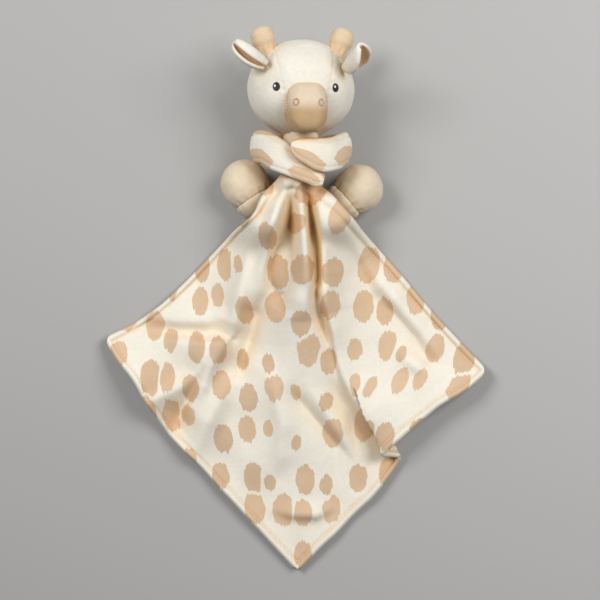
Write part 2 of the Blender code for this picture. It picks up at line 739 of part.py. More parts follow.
def arm_cover(x, y, side, shoulder_y, heading):
    """The height at which cloth clears an arm's upper half, with room for it to lift."""
    at = shoulder_point(side, shoulder_y)
    forward = (x - at.x) * math.cos(heading) + (y - at.y) * math.sin(heading)
    across = (y - at.y) * math.cos(heading) - (x - at.x) * math.sin(heading)
    along = np.clip(forward, 0, HOOF_SEAM_SHARE * ARM_LENGTH)
    away = np.hypot(across, forward - along)
    limb = HOOF_RADIUS * ARM_FLATTEN_SHARE
    top = ARM_Z + ARM_ROOM + limb * np.interp(
        (along + ARM_ROOT_RADIUS) / ARM_LENGTH, *zip(*ARM_PROFILE_SHARES)
    )
    return top / (1 + (away / ARM_COVER_REACH) ** 4)


def cloth_points():
    """The middle surface of the blanket: a grid of points, from the throat corner outwards."""
    quarter = math.pi / 4
    steps = np.linspace(0, 1, CLOTH_ROWS + 1) ** CLOTH_ROW_POWER
    steps = CLOTH_START_SHARE + (1 - CLOTH_START_SHARE) * steps
    heading, steps = np.meshgrid(np.linspace(quarter, -quarter, CLOTH_COLUMNS + 1), steps)
    reach = steps * CLOTH_SIDE / np.cos(quarter - np.abs(heading))
    pull = CLOTH_CORNER * (math.sqrt(2) - 1)
    for column in (0, CLOTH_COLUMNS // 2, -1):
        reach[-1, column] -= pull

    to_left = np.clip(heading / quarter, 0, 1) ** 2
    to_right = np.clip(-heading / quarter, 0, 1) ** 2
    share = (
        BOTTOM_REACH_SHARE
        + (LEFT_REACH_SHARE - BOTTOM_REACH_SHARE) * to_left ** 0.6
        + (RIGHT_REACH_SHARE - BOTTOM_REACH_SHARE) * to_right
    )
    away = reach * share
    left_spread, right_spread = (
        np.interp(away / CLOTH_SIDE, *through(table, FINE_ROWS).T)
        for table in (LEFT_SPREAD_SHARES, RIGHT_SPREAD_SHARES)
    )
    heading = heading * (1 + (left_spread - 1) * to_left + (right_spread - 1) * to_right)
    pleat = smooth_step(0, PLEAT_STEP, PLEAT_HEADING - heading)
    pleat = pleat * smooth_step(PLEAT_FADE_HEADING, PLEAT_HEADING - PLEAT_STEP, heading)
    pleat = pleat * smooth_step(PLEAT_REACH - PLEAT_LENGTH, PLEAT_REACH, away)
    away = away - PLEAT_PULL * pleat

    x = CLOTH_X - away * np.sin(heading)
    y = CLOTH_Y - away * np.cos(heading)
    return x, y, cloth_height(x, y, away, heading, pleat)


def cloth_height(x, y, away, heading, pleat):
    """The hump over the body and arms, with the folds on it, and never through what it covers."""
    line = np.array(through(HUMP_SHARES, FINE_ROWS))
    hump = HUMP_TOP * np.interp(away / HUMP_LENGTH, line[:, 0], line[:, 1])
    hump = hump / (1 + (np.abs(x - BODY_X) / HUMP_HALF_WIDTH) ** 2.6)
    left_arm = arm_cover(x, y, -1, LEFT_SHOULDER_Y, LEFT_ARM_HEADING)
    right_arm = arm_cover(x, y, 1, RIGHT_SHOULDER_Y, RIGHT_ARM_HEADING)
    height = (hump**4 + left_arm**4 + right_arm**4) ** 0.25
    for middle, half_spread, rise, marks in FOLDS:
        bell = np.exp(-(((heading - middle) / half_spread) ** 2))
        height = height + rise * bell * fade(away, marks)
    height = height + PLEAT_HEIGHT * pleat
    half_gap = SEAM_GAP / 2
    lowest = BACK_THICKNESS + half_gap
    return np.maximum(np.maximum(height - CLOTH_SETTLE, over_body(x, y)), lowest)


def thickness_directions(points):
    """Halfway between the surface's normal and straight up, so that steep folds never cross."""
    along = np.gradient(points, axis=0)
    across = np.gradient(points, axis=1)
    normals = np.cross(along, across)
    normals /= np.linalg.norm(normals, axis=2, keepdims=True)
    normals *= np.sign(normals[..., 2:3])
    normals[..., 2] += 1
    return normals / np.linalg.norm(normals, axis=2, keepdims=True)


def build_blanket():
    points = np.stack(cloth_points(), axis=2)
    normals = thickness_directions(points)
    half_gap = SEAM_GAP / 2
    top = points + normals * (half_gap + FRONT_THICKNESS)
    upper = points + normals * half_gap
    lower = points - normals * half_gap
    bottom = points - normals * (half_gap + BACK_THICKNESS)
    place("blanket_front", layer(top.tolist(), upper.tolist()), PARTS, "printed_velour")
    place("blanket_back", layer(lower.tolist(), bottom.tolist()), PARTS, "plain_backing")


# Neck wrap


def wrap_centre(share):
    angle = WRAP_START + (WRAP_END - WRAP_START) * share
    rise = WRAP_FRONT_RISE if math.sin(angle) > 0 else WRAP_BACK_RISE
    rise += WRAP_OVERLAP_STEP * float(
        smooth_step(WRAP_STEP_START_SHARE, WRAP_STEP_END_SHARE, share)
    )
    drop = read_table(WRAP_DROPS, share)[0]
    return Vector((
        HEAD_X + WRAP_HALF_SPAN * math.cos(angle),
        WRAP_Y - drop,
        HEAD_Z + rise * math.sin(angle),
    ))


def build_wrap():
    """A puffy flat band lofted along its winding, rounded off at both free ends."""
    length = WRAP_END_ROUND
    turn_length = (WRAP_END - WRAP_START) * WRAP_HALF_SPAN
    rings = []
    tips = []
    for i in range(WRAP_STATIONS + 1):
        share = i / WRAP_STATIONS
        centre = wrap_centre(share)
        ahead = wrap_centre(share + WRAP_LOOK_SHARE)
        back = wrap_centre(share - WRAP_LOOK_SHARE)
        along = (ahead - back).normalized()
        out = Vector((centre.x - HEAD_X, 0, (centre.z - HEAD_Z) * WRAP_OUT_SHARE))
        out = (out - along * out.dot(along)).normalized()
        across = out.cross(along)
        wide, thick = read_table(WRAP_SHARES, share)
        to_end = min(share, 1 - share) * turn_length / length
        close = math.sqrt(max(1 - (1 - min(to_end + WRAP_TIP_SHARE, 1)) ** 2, 0))
        rings.append(
            ring(
                centre, across, out,
                WRAP_HALF_WIDTH * wide * close, WRAP_HALF_THICKNESS * thick * math.sqrt(close),
                WRAP_SIDES,
            )
        )
        if i in (0, WRAP_STATIONS):
            tips.append(centre)
    place("neck_wrap", loft(rings, *tips), PARTS, "printed_velour")


build_head()
build_eyes()
build_nostrils()
build_horns()
build_ears()
build_body()
build_arm("left", -1, LEFT_SHOULDER_Y, LEFT_ARM_HEADING)
build_arm("right", 1, RIGHT_SHOULDER_Y, RIGHT_ARM_HEADING)
build_blanket()
build_wrap()
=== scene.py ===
"""Looks of a comfort blanket lovey: a plush farm animal's head and paws on a spotted velour square.

The toy lies on its back on a pale floor. Everything is in metres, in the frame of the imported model:
+Z up from the floor and +Y towards the crown of the head.
"""

import math

import bmesh
import bpy
import numpy as np
from mathutils import Matrix, Vector, noise


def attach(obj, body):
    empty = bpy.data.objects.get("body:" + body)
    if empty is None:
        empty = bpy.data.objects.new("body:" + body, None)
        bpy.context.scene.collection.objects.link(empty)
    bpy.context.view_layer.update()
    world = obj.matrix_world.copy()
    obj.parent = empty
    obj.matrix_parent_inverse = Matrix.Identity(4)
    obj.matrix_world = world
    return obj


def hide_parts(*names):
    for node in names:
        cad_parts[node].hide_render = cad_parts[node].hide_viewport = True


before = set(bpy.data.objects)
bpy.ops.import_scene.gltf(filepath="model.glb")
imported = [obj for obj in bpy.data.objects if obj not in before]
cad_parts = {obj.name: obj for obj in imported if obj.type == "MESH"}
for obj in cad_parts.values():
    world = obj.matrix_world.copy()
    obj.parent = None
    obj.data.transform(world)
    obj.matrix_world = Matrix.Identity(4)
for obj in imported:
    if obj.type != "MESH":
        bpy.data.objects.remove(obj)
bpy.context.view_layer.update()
TURN = 2 * math.pi

# Places and sizes, as the construction has them

SEAM_GAP = 0.0003
HEAD_CENTRE = Vector((0.0046, 0.2062, 0.0465))
HEAD_HALVES = (0.052, 0.0477, 0.047)
HEAD_PLACE = Matrix.Translation(HEAD_CENTRE) @ Matrix.Rotation(math.radians(7), 4, "Y")
MUZZLE_HALVES = (0.0203, 0.0247, 0.0300)
MUZZLE_DROP = 0.0190
MUZZLE_FORWARD = 0.0300
MUZZLE_SLOPE = 0.0080
MUZZLE_SEAM = 0.0186
EYE_SPREAD, EYE_DROP = 0.0280, 0.0033
NOSTRIL_SPREAD, NOSTRIL_DROP = 0.0116, 0.0200
HORN_BASE = (0.0312, 0.0268, 0.0085)
HORN_LEAN = (0.33, 0.94, 0.12)
HORN_LENGTH, HORN_RADIUS = 0.0330, 0.0117
EAR_LENGTH, EAR_HALF_WIDTH = 0.0370, 0.0200
EAR_OUTER_THICKNESS, EAR_LINING_THICKNESS, EAR_CLOTH_AREA = 0.0018, 0.0014, 0.00118
# Root, which way the ear runs, which way its fold opens, and half angles at the root and the tip
LEFT_EAR = ((-0.02924, 0.22576, 0.07918), (-0.80, 0.50, 0.22), (-0.25, -0.46, 0.85), (163, 156))
RIGHT_EAR = ((0.04574, 0.22595, 0.07025), (0.27, 0.39, 0.88), (0.62, -0.62, 0.20), (135, 105))
LEFT_SHOULDER = (Vector((-0.03142, 0.0862, 0.02158)), math.radians(122))
RIGHT_SHOULDER = (Vector((0.03475, 0.0880, 0.02158)), math.radians(42))
ARM_LENGTH, ARM_ROOT_RADIUS, HOOF_RADIUS = 0.0740, 0.0128, 0.0240
# The seam of sleeve and hoof and half its gap, as shares of the arm's length
HOOF_SEAM, HOOF_SEAM_HALF_GAP = 0.45, 0.0022
CLOTH_SIDE = 0.3050
THROAT = (-0.0041, 0.1344)
FRONT_THICKNESS, BACK_THICKNESS = 0.0018, 0.0015
HEM_WIDTH = 0.0078
WRAP_Y, WRAP_RADIUS = 0.1484, 0.0420
SIDES = ((-1, "left"), (1, "right"))
CAMERA_HEIGHT, PICTURE_WIDTH, SENSOR_WIDTH = 1.45, 0.600, 36


# Camera, lights and floor


def look_down():
    bpy.ops.object.camera_add(location=(0.0036, 0.0024, CAMERA_HEIGHT), rotation=(0, 0, 0))
    camera = bpy.context.object
    camera.name = "camera"
    camera.data.sensor_width = SENSOR_WIDTH
    camera.data.lens = SENSOR_WIDTH * CAMERA_HEIGHT / PICTURE_WIDTH
    camera.data.clip_start = 0.01
    bpy.context.scene.camera = camera


def soft_box(name, place, size, power, colour):
    """A square area lamp that faces the origin."""
    bpy.ops.object.light_add(type="AREA", location=place)
    lamp = bpy.context.object
    lamp.name = name
    lamp.data.shape = "SQUARE"
    lamp.data.size = size
    lamp.data.energy = power
    lamp.data.color = colour
    lamp.rotation_euler = (-Vector(place)).to_track_quat("-Z", "Y").to_euler()


def light_room():
    bpy.context.scene.view_settings.view_transform = "Standard"
    world = bpy.data.worlds.new("studio")
    bpy.context.scene.world = world
    world.use_nodes = True
    tree = world.node_tree
    sky = tree.nodes["Background"]
    sky.inputs["Color"].default_value = (0.97, 0.98, 1.0, 1)
    # The lamps do the lighting; only the camera sees the sky as pale as the floor
    seen = tree.nodes.new("ShaderNodeLightPath")
    level = tree.nodes.new("ShaderNodeMapRange")
    level.inputs["To Min"].default_value = 0.17
    level.inputs["To Max"].default_value = 0.30
    tree.links.new(seen.outputs["Is Camera Ray"], level.inputs["Value"])
    tree.links.new(level.outputs["Result"], sky.inputs["Strength"])
    soft_box("key_light", (-0.88, 0.64, 1.28), 0.60, 17, (1.0, 0.985, 0.965))
    soft_box("fill_light", (0.98, 0.52, 1.34), 0.80, 19.5, (1.0, 0.99, 0.975))


def lay_floor():
    bpy.ops.mesh.primitive_plane_add(size=30, location=(0, 0, -0.0004))
    floor = bpy.context.object
    floor.name = "floor"
    floor.data.materials.append(floor_finish())


# Node helpers


class Finish:
    """A material under construction: its nodes, and short ways to add and join them."""

    def __init__(self, name):
        self.material = bpy.data.materials.new(name)
        self.material.use_nodes = True
        self.tree = self.material.node_tree
        self.shader = self.tree.nodes["Principled BSDF"]
        self.surface(Metallic=0)

    def add(self, kind, **settings):
        node = self.tree.nodes.new(kind)
        for key, value in settings.items():
            setattr(node, key, value)
        return node

    def place(self):
        """The piece's own coordinates."""
        return self.add("ShaderNodeTexCoord").outputs["Object"]

    def cloth_map(self):
        """The flat cloth's own map, in metres."""
        return self.add("ShaderNodeUVMap", uv_map="cloth").outputs[0]

    def group(self, tree, **inputs):
        node = self.add("ShaderNodeGroup", node_tree=tree)
        fill(self.tree, node, inputs)
        return node

    def surface(self, **inputs):
        fill(self.tree, self.shader, inputs)

    def bump(self, height, strength, distance):
        node = self.add("ShaderNodeBump")
        fill(self.tree, node, {"Height": height, "Strength": strength, "Distance": distance})
        self.surface(Normal=node.outputs[0])


def feed(tree, socket, value):
    """Gives a socket a link or a plain value."""
    if isinstance(value, bpy.types.NodeSocket):
        tree.links.new(value, socket)
    else:
        socket.default_value = value


def fill(tree, node, inputs):
    """Feeds a node's inputs, whose names may have a low line for each space."""
    for key, value in inputs.items():
        feed(tree, node.inputs[key.replace("_", " ")], value)


def math_node(tree, operation, *values, clamp=False):
    node = tree.nodes.new("ShaderNodeMath")
    node.operation = operation
    node.use_clamp = clamp
    for socket, value in zip(node.inputs, values):
        feed(tree, socket, value)
    return node.outputs[0]


def swing(tree, value, weight):
    """How far a texture is from its middle, times a weight."""
    return math_node(tree, "MULTIPLY", math_node(tree, "SUBTRACT", value, 0.5), weight)


def split(tree, vector):
    node = tree.nodes.new("ShaderNodeSeparateXYZ")
    tree.links.new(vector, node.inputs[0])
    return node.outputs


def flat_vector(tree, across, down):
    node = tree.nodes.new("ShaderNodeCombineXYZ")
    fill(tree, node, {"X": across, "Y": down})
    return node.outputs[0]


def new_group(name, inputs, outputs):
    tree = bpy.data.node_groups.new(name, "ShaderNodeTree")
    for label, kind, value in inputs:
        socket = tree.interface.new_socket(label, in_out="INPUT", socket_type=kind)
        if value is not None:
            socket.default_value = value
    for label, kind in outputs:
        tree.interface.new_socket(label, in_out="OUTPUT", socket_type=kind)
    return tree, tree.nodes.new("NodeGroupInput").outputs, tree.nodes.new("NodeGroupOutput")


def texture_noise(tree, vector, scale, detail, roughness):
    node = tree.nodes.new("ShaderNodeTexNoise")
    fill(tree, node, {"Vector": vector, "Scale": scale, "Detail": detail, "Roughness": roughness})
    return node.outputs["Fac"]


def mix_colour(tree, share, first, second, blend="MIX"):
    node = tree.nodes.new("ShaderNodeMix")
    node.data_type = "RGBA"
    node.blend_type = blend
    fill(tree, node, {"Factor": share, "A": first, "B": second})
    return node.outputs["Result"]


def make_pile_group():
    """Short cut pile: colour that shifts where the nap was brushed, and the height of its tufts."""
    tree, given, sink = new_group(
        "short_pile",
        [("Vector", "NodeSocketVector", None), ("Colour", "NodeSocketColor", (1, 1, 1, 1)),
         ("Tuft Scale", "NodeSocketFloat", 900.0), ("Nap Strength", "NodeSocketFloat", 0.08)],
        [("Colour", "NodeSocketColor"), ("Height", "NodeSocketFloat"),
         ("Roughness", "NodeSocketFloat")],
    )
    nap = texture_noise(tree, given["Vector"], 55.0, 3.0, 0.55)
    tufts = texture_noise(tree, given["Vector"], given["Tuft Scale"], 2.0, 0.6)
    clumps = texture_noise(tree, given["Vector"], 230.0, 3.0, 0.6)
    brushed = math_node(tree, "ADD", 1.0, swing(tree, nap, given["Nap Strength"]))
    fleck = math_node(tree, "ADD", swing(tree, tufts, 0.16), swing(tree, clumps, 0.16))
    tone = tree.nodes.new("ShaderNodeVectorMath")
    tone.operation = "SCALE"
    tree.links.new(given["Colour"], tone.inputs[0])
    tree.links.new(math_node(tree, "ADD", brushed, fleck), tone.inputs["Scale"])
    height = math_node(tree, "ADD", math_node(tree, "MULTIPLY", tufts, 0.55),
                       math_node(tree, "MULTIPLY", clumps, 0.45))
    rough = math_node(tree, "ADD", 0.88, swing(tree, nap, 0.12))
    fill(tree, sink, {"Colour": tone.outputs[0], "Height": height, "Roughness": rough})
    return tree


def make_spot_group():
    """Ragged upright ovals in three sizes, scattered over cloth whose map is in metres."""
    tree, given, sink = new_group(
        "oval_spots",
        [("Vector", "NodeSocketVector", None), ("Across", "NodeSocketFloat", 0.029),
         ("Down", "NodeSocketFloat", 0.045)],
        [("Mask", "NodeSocketFloat"), ("Tone", "NodeSocketFloat")],
    )
    parts = split(tree, given["Vector"])
    across = math_node(tree, "DIVIDE", parts["X"], given["Across"])
    down = math_node(tree, "DIVIDE", parts["Y"], given["Down"])
    strokes = flat_vector(tree, math_node(tree, "MULTIPLY", across, 13.0),
                          math_node(tree, "MULTIPLY", down, 0.8))
    fringe = texture_noise(tree, strokes, 1.0, 1.0, 0.5)
    wander = texture_noise(tree, given["Vector"], 70.0, 1.0, 0.5)
    fine = texture_noise(tree, given["Vector"], 420.0, 1.0, 0.5)
    down = math_node(tree, "ADD", down, swing(tree, fringe, 0.20))
    across = math_node(tree, "ADD", across, swing(tree, wander, 0.14))
    cells = tree.nodes.new("ShaderNodeTexVoronoi")
    edges = tree.nodes.new("ShaderNodeTexVoronoi")
    edges.feature = "DISTANCE_TO_EDGE"
    place = flat_vector(tree, across, down)
    for node in (cells, edges):
        node.voronoi_dimensions = "2D"
        fill(tree, node, {"Vector": place, "Scale": 1.0, "Randomness": 0.54})
    pick = tree.nodes.new("ShaderNodeSeparateColor")
    tree.links.new(cells.outputs["Color"], pick.inputs[0])
    size = tree.nodes.new("ShaderNodeValToRGB")
    size.color_ramp.elements.new(0.35)
    for element, radius in zip(size.color_ramp.elements, (0.19, 0.32, 0.42)):
        element.color = (radius, radius, radius, 1)
    tree.links.new(pick.outputs[0], size.inputs["Fac"])
    inside = math_node(tree, "SUBTRACT", size.outputs["Color"], cells.outputs["Distance"])
    inside = math_node(tree, "ADD", inside, swing(tree, fine, 0.05))
    clear = math_node(tree, "SUBTRACT", edges.outputs["Distance"], 0.040)
    inside = math_node(tree, "MINIMUM", inside, clear)
    mask = math_node(tree, "ADD", math_node(tree, "MULTIPLY", inside, 40.0), 0.5, clamp=True)
    fill(tree, sink, {"Mask": mask, "Tone": pick.outputs[1]})
    return tree


def make_painted_shade_group():
    """Painted shade: where ambient occlusion finds a hollow, the colour is darkened and warmed, as
    light that bounces about in a hollow of pale pile comes out warmer and deeper.
    """
    tree, given, sink = new_group(
        "painted_hollow_shade",
        [("Colour", "NodeSocketColor", (1, 1, 1, 1)), ("Reach", "NodeSocketFloat", 0.04),
         ("Depth", "NodeSocketFloat", 1.45)],
        [("Colour", "NodeSocketColor")],
    )
    open_sky = tree.nodes.new("ShaderNodeAmbientOcclusion")
    open_sky.samples = 8
    tree.links.new(given["Reach"], open_sky.inputs["Distance"])
    closed = math_node(tree, "SUBTRACT", 1.0, open_sky.outputs["AO"])
    closed = math_node(tree, "MULTIPLY", closed, given["Depth"], clamp=True)
    # The tint is painted shade, deepest where the hollow is most closed in
    shade_tint = mix_colour(tree, closed, (1, 1, 1, 1), (0.95, 0.72, 0.46, 1))
    fill(tree, sink, {"Colour": mix_colour(tree, 1.0, given["Colour"], shade_tint, "MULTIPLY")})
    return tree


PILE = make_pile_group()
SPOTS = make_spot_group()
PAINTED_SHADE = make_painted_shade_group()


def finish_cloth(finish, pile, colour, bump, sheen, depth=1.45):
    """What all pile cloths share; depth is how strongly painted shade darkens and warms their
    hollows.
    """
    # Painted shade: hollows found by ambient occlusion are darkened and warmed
    warmed = finish.group(PAINTED_SHADE, Colour=colour, Depth=depth)
    finish.bump(pile.outputs["Height"], bump, 0.0007)
    finish.surface(
        Base_Color=warmed.outputs["Colour"], Roughness=pile.outputs["Roughness"],
        Specular_IOR_Level=0.15, Sheen_Weight=sheen, Sheen_Roughness=0.55,
        Sheen_Tint=(1.0, 0.97, 0.92, 1),
    )
    return finish.material


def plush_finish(name, colour, nap=0.14, below=None):
    """Plain short plush; below a line it takes a deeper tone, which is painted shade on an underside
    together with its nap lying the other way.
    """
    finish = Finish(name)
    place = finish.place()
    tone = (*colour, 1)
    if below:
        line, painted_shade_tone = below
        # Below the line the tone turns deeper: painted shade, with the nap lying the other way
        edge = finish.add("ShaderNodeMapRange", interpolation_type="SMOOTHSTEP")
        fill(finish.tree, edge, {"Value": split(finish.tree, place)["Y"],
                                 "From Min": line - 0.0080, "From Max": line + 0.0055})
        tone = mix_colour(finish.tree, edge.outputs["Result"], (*painted_shade_tone, 1), tone)
    pile = finish.group(PILE, Vector=place, Colour=tone, Tuft_Scale=900.0, Nap_Strength=nap)
    return finish_cloth(finish, pile, pile.outputs["Colour"], 0.25, 0.12, 0.85)


def velour_finish(name, ground, spot):
    """Printed velour: the spots follow the cloth's own map."""
    finish = Finish(name)
    cloth_map = finish.cloth_map()
    spots = finish.group(SPOTS, Vector=cloth_map)
    deeper = tuple(c * 0.90 for c in spot)
    ink = mix_colour(finish.tree, spots.outputs["Tone"], (*spot, 1), (*deeper, 1))
    colour = mix_colour(finish.tree, spots.outputs["Mask"], (*ground, 1), ink)
    pile = finish.group(PILE, Vector=cloth_map, Colour=colour, Tuft_Scale=1100.0, Nap_Strength=0.12)
    return finish_cloth(finish, pile, pile.outputs["Colour"], 0.18, 0.12)


def knit_finish(name, colour):
    """Plain fine knit of the blanket's back: close upright ribs of loops."""
    finish = Finish(name)
    cloth_map = finish.cloth_map()
    ribs = finish.add("ShaderNodeTexWave", wave_type="BANDS", bands_direction="X")
    fill(finish.tree, ribs, {"Vector": cloth_map, "Scale": 260.0, "Distortion": 0.6, "Detail": 1.0})
    pile = finish.group(PILE, Vector=cloth_map, Colour=(*colour, 1), Tuft_Scale=1300.0)
    tone = mix_colour(finish.tree, 0.10, pile.outputs["Colour"], ribs.outputs["Color"], "MULTIPLY")
    return finish_cloth(finish, pile, tone, 0.18, 0.1)


def thread_finish(name, colour, roughness):
    """Stitched thread: fine slanting strands with a little sheen."""
    finish = Finish(name)
    strands = finish.add("ShaderNodeTexWave", wave_type="BANDS", bands_direction="DIAGONAL")
    fill(finish.tree, strands, {"Vector": finish.place(), "Scale": 1700.0, "Distortion": 1.2})
    light = tuple(min(1, c * 1.25 + 0.01) for c in colour)
    tone = mix_colour(finish.tree, strands.outputs["Fac"], (*colour, 1), (*light, 1))
    finish.surface(Base_Color=tone, Roughness=roughness)
    finish.bump(strands.outputs["Fac"], 0.4, 0.0003)
    return finish.material


def fibre_finish(name):
    """Loose white polyester fibre, seen only where a skin is opened."""
    finish = Finish(name)
    wisps = texture_noise(finish.tree, finish.place(), 160.0, 6.0, 0.7)
    tone = mix_colour(finish.tree, wisps, (0.78, 0.78, 0.76, 1), (0.95, 0.95, 0.94, 1))
    finish.surface(Base_Color=tone, Roughness=0.95)
    finish.bump(wisps, 1.0, 0.001)
    return finish.material


def floor_finish():
    """A pale grey surface with painted light that makes it a little lighter to one side."""
    finish = Finish("pale_floor")
    to_side = split(finish.tree, finish.place())["X"]
    # Painted light: the floor's colour brightens towards +X
    painted_light_ramp = math_node(finish.tree, "MULTIPLY_ADD", to_side, 0.75, 0.5, clamp=True)
    tone = mix_colour(finish.tree, painted_light_ramp, (0.362, 0.360, 0.358, 1), (0.478, 0.476, 0.470, 1))
    finish.surface(Base_Color=tone, Roughness=0.85, Specular_IOR_Level=0.2)
    return finish.material


CREAM_PLUSH = plush_finish("cream_plush", (0.75, 0.72, 0.64), nap=0.18)
TAN_PLUSH = plush_finish("tan_plush", (0.67, 0.535, 0.375))
# The muzzle's underside, below y 0.183, gets a deeper tan: painted shade, with its nap lying the
# other way
MUZZLE_PLUSH = plush_finish(
    "muzzle_plush", (0.66, 0.54, 0.405), nap=0.22, below=(0.1830, (0.46, 0.315, 0.17)))
# The sleeves are cream plush painted a deeper tan: painted shade where they lie under the hooves and
# the cloth
SHADED_SLEEVE_PLUSH = plush_finish("shaded_sleeve_plush", (0.69, 0.60, 0.465), nap=0.24)
LINING_PLUSH = plush_finish("ear_lining", (0.80, 0.67, 0.52))
HOOF_PLUSH = plush_finish("hoof_plush", (0.71, 0.605, 0.455), nap=0.30)
VELOUR = velour_finish("printed_velour", (0.80, 0.765, 0.675), (0.67, 0.495, 0.335))
BACKING = knit_finish("plain_backing", (0.70, 0.66, 0.575))
EYE_THREAD = thread_finish("eye_thread", (0.012, 0.011, 0.011), 0.32)
GLINT_THREAD = thread_finish("glint_thread", (0.85, 0.85, 0.84), 0.45)
NOSTRIL_THREAD = thread_finish("nostril_thread", (0.44, 0.30, 0.26), 0.6)
MUZZLE_THREAD = thread_finish("muzzle_thread", (0.30, 0.20, 0.12), 0.6)
SEWING_THREAD = thread_finish("sewing_thread", (0.70, 0.63, 0.52), 0.6)
FIBRE = fibre_finish("fibre_filling")


# Mesh helpers


def piece_from(name, points, faces, finish, cloth_map=None):
    """An object from an array of points, smooth, at the origin, with an optional cloth map."""
    data = bpy.data.meshes.new(name)
    data.from_pydata([tuple(p) for p in points], [], faces)
    if cloth_map is not None:
        layer = data.uv_layers.new(name="cloth")
        loops = np.zeros(len(data.loops), int)
        data.loops.foreach_get("vertex_index", loops)
        layer.data.foreach_set("uv", np.asarray(cloth_map)[loops].ravel())
    data.shade_smooth()
    data.materials.append(finish)
    made = bpy.data.objects.new(name, data)
    bpy.context.scene.collection.objects.link(made)
    outward(made)
    return made


def outward(piece):
    mesh = bmesh.new()
    mesh.from_mesh(piece.data)
    bmesh.ops.recalc_face_normals(mesh, faces=mesh.faces)
    mesh.to_mesh(piece.data)
    mesh.free()


def grid_faces(rows, columns, start=0, wrap=False):
    faces = []
    for i in range(rows - 1):
        for j in range(columns if wrap else columns - 1):
            k = (j + 1) % columns
            faces.append((
                start + i * columns + j, start + i * columns + k,
                start + (i + 1) * columns + k, start + (i + 1) * columns + j,
            ))
    return faces


def closed_sheet(top, bottom):
    """Points and faces of a sheet between two grids, with its rim closed."""
    rows, columns = top.shape[:2]
    count = rows * columns
    faces = grid_faces(rows, columns) + grid_faces(rows, columns, count)
    edge = list(range(columns))
    edge += [i * columns + columns - 1 for i in range(1, rows)]
    edge += [(rows - 1) * columns + j for j in range(columns - 2, -1, -1)]
    edge += [i * columns for i in range(rows - 2, 0, -1)]
    for a, b in zip(edge, edge[1:] + edge[:1]):
        faces.append((a, b, count + b, count + a))
    return np.concatenate([top.reshape(-1, 3), bottom.reshape(-1, 3)]), faces


def tube(rings, first=None, last=None):
    """Points and faces of a closed tube over rings of points, with a pole where one is given."""
    rings = np.asarray(rings)
    rows, columns = rings.shape[:2]
    faces = grid_faces(rows, columns, 0, wrap=True)
    points = list(rings.reshape(-1, 3))
    for pole, row in ((first, 0), (last, rows - 1)):
        if pole is None:
            continue
        tip = len(points)
        points.append(np.asarray(pole))
        for j in range(columns):
            faces.append((row * columns + j, row * columns + (j + 1) % columns, tip))
    return np.array(points), faces


def curve_through(table, at):
    """Reads a table's columns at places on a smooth curve that never passes its knots."""
    table = np.asarray(table, float)
    knots, values = table[:, 0], table[:, 1:]
    steps = np.diff(values, axis=0) / np.diff(knots)[:, None]
    slopes = np.zeros_like(values)
    slopes[0], slopes[-1] = steps[0], steps[-1]
    before, after = steps[:-1], steps[1:]
    same = before * after > 0
    slopes[1:-1] = np.where(same, 2 * before * after / np.where(same, before + after, 1), 0)
    at = np.clip(np.atleast_1d(np.asarray(at, float)), knots[0], knots[-1])
    i = np.clip(np.searchsorted(knots, at) - 1, 0, len(knots) - 2)
    width = (knots[i + 1] - knots[i])[:, None]
    t = ((at - knots[i]) / width[:, 0])[:, None]
    return (
        (2 * t**3 - 3 * t**2 + 1) * values[i] + (t**3 - 2 * t**2 + t) * width * slopes[i]
        + (3 * t**2 - 2 * t**3) * values[i + 1] + (t**3 - t**2) * width * slopes[i + 1]
    )


def smooth_step(low, high, value):
    t = np.clip((value - low) / (high - low), 0, 1)
    return t * t * (3 - 2 * t)


def bell(value, width):
    return np.exp(-((value / width) ** 2))


def lumps(points, scale, depth, seed=0.0):
    """How far stuffing or pile lifts each point, from smooth noise."""
    shift = Vector((seed, seed * 1.7, -seed))
    return np.array([depth * noise.noise(Vector(p) * scale + shift) for p in points])


def read_points(piece):
    points = np.zeros(len(piece.data.vertices) * 3)
    piece.data.vertices.foreach_get("co", points)
    return points.reshape(-1, 3)


def write_points(piece, points):
    piece.data.vertices.foreach_set("co", np.asarray(points, float).ravel())
    piece.data.update()


def dress(piece, body, slot, *nodes):
    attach(piece, body)
    if nodes:
        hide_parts(*nodes)
    return piece


def stitch_row(name, points, normals, finish, length=0.0021, pitch=0.0031, radius=0.00028):
    """Short raised stitches along a line of points, each lying on the cloth."""
    points, normals = np.asarray(points), np.asarray(normals)
    gaps = np.linalg.norm(np.diff(points, axis=0), axis=1)
    run = np.concatenate([[0], np.cumsum(gaps)])

    def read(table, place):
        return np.array([np.interp(place, run, table[:, k]) for k in range(3)])

    # Places along a stitch and how full it is there, between its pointed ends
    shape = ((-0.42, 0.75), (-0.2, 1.0), (0.2, 1.0), (0.42, 0.75))
    verts, faces = [], []
    sides, rows = 6, len(shape)
    for middle in np.arange(pitch / 2, run[-1] - pitch / 2, pitch):
        at, up = read(points, middle), read(normals, middle)
        along = read(points, middle + length / 2) - read(points, middle - length / 2)
        along /= np.linalg.norm(along) + 1e-12
        across = np.cross(up, along)
        across /= np.linalg.norm(across) + 1e-12
        up = np.cross(along, across)
        start = len(verts)
        verts.append(at - along * 0.5 * length)
        for place, wide in shape:
            for k in range(sides):
                angle = TURN * k / sides
                verts.append(at + along * place * length + wide * radius * (
                    across * math.cos(angle) + up * math.sin(angle)))
        verts.append(at + along * 0.5 * length)
        faces += grid_faces(rows, sides, start + 1, wrap=True)
        low = start + 1 + (rows - 1) * sides
        for k in range(sides):
            j = (k + 1) % sides
            faces.append((start, start + 1 + j, start + 1 + k))
            faces.append((low + k, low + j, start + 1 + rows * sides))
    return piece_from(name, verts, faces, finish)


# The blanket

HUMP_TOP, HUMP_LENGTH, HUMP_HALF_WIDTH = 0.0620, 0.1950, 0.0300
HUMP_SHARES = ((0.0, 1.0), (0.20, 0.76), (0.45, 0.62), (0.66, 0.54), (0.80, 0.38), (0.93, 0.22),
               (1.08, 0.10), (1.30, 0.0))
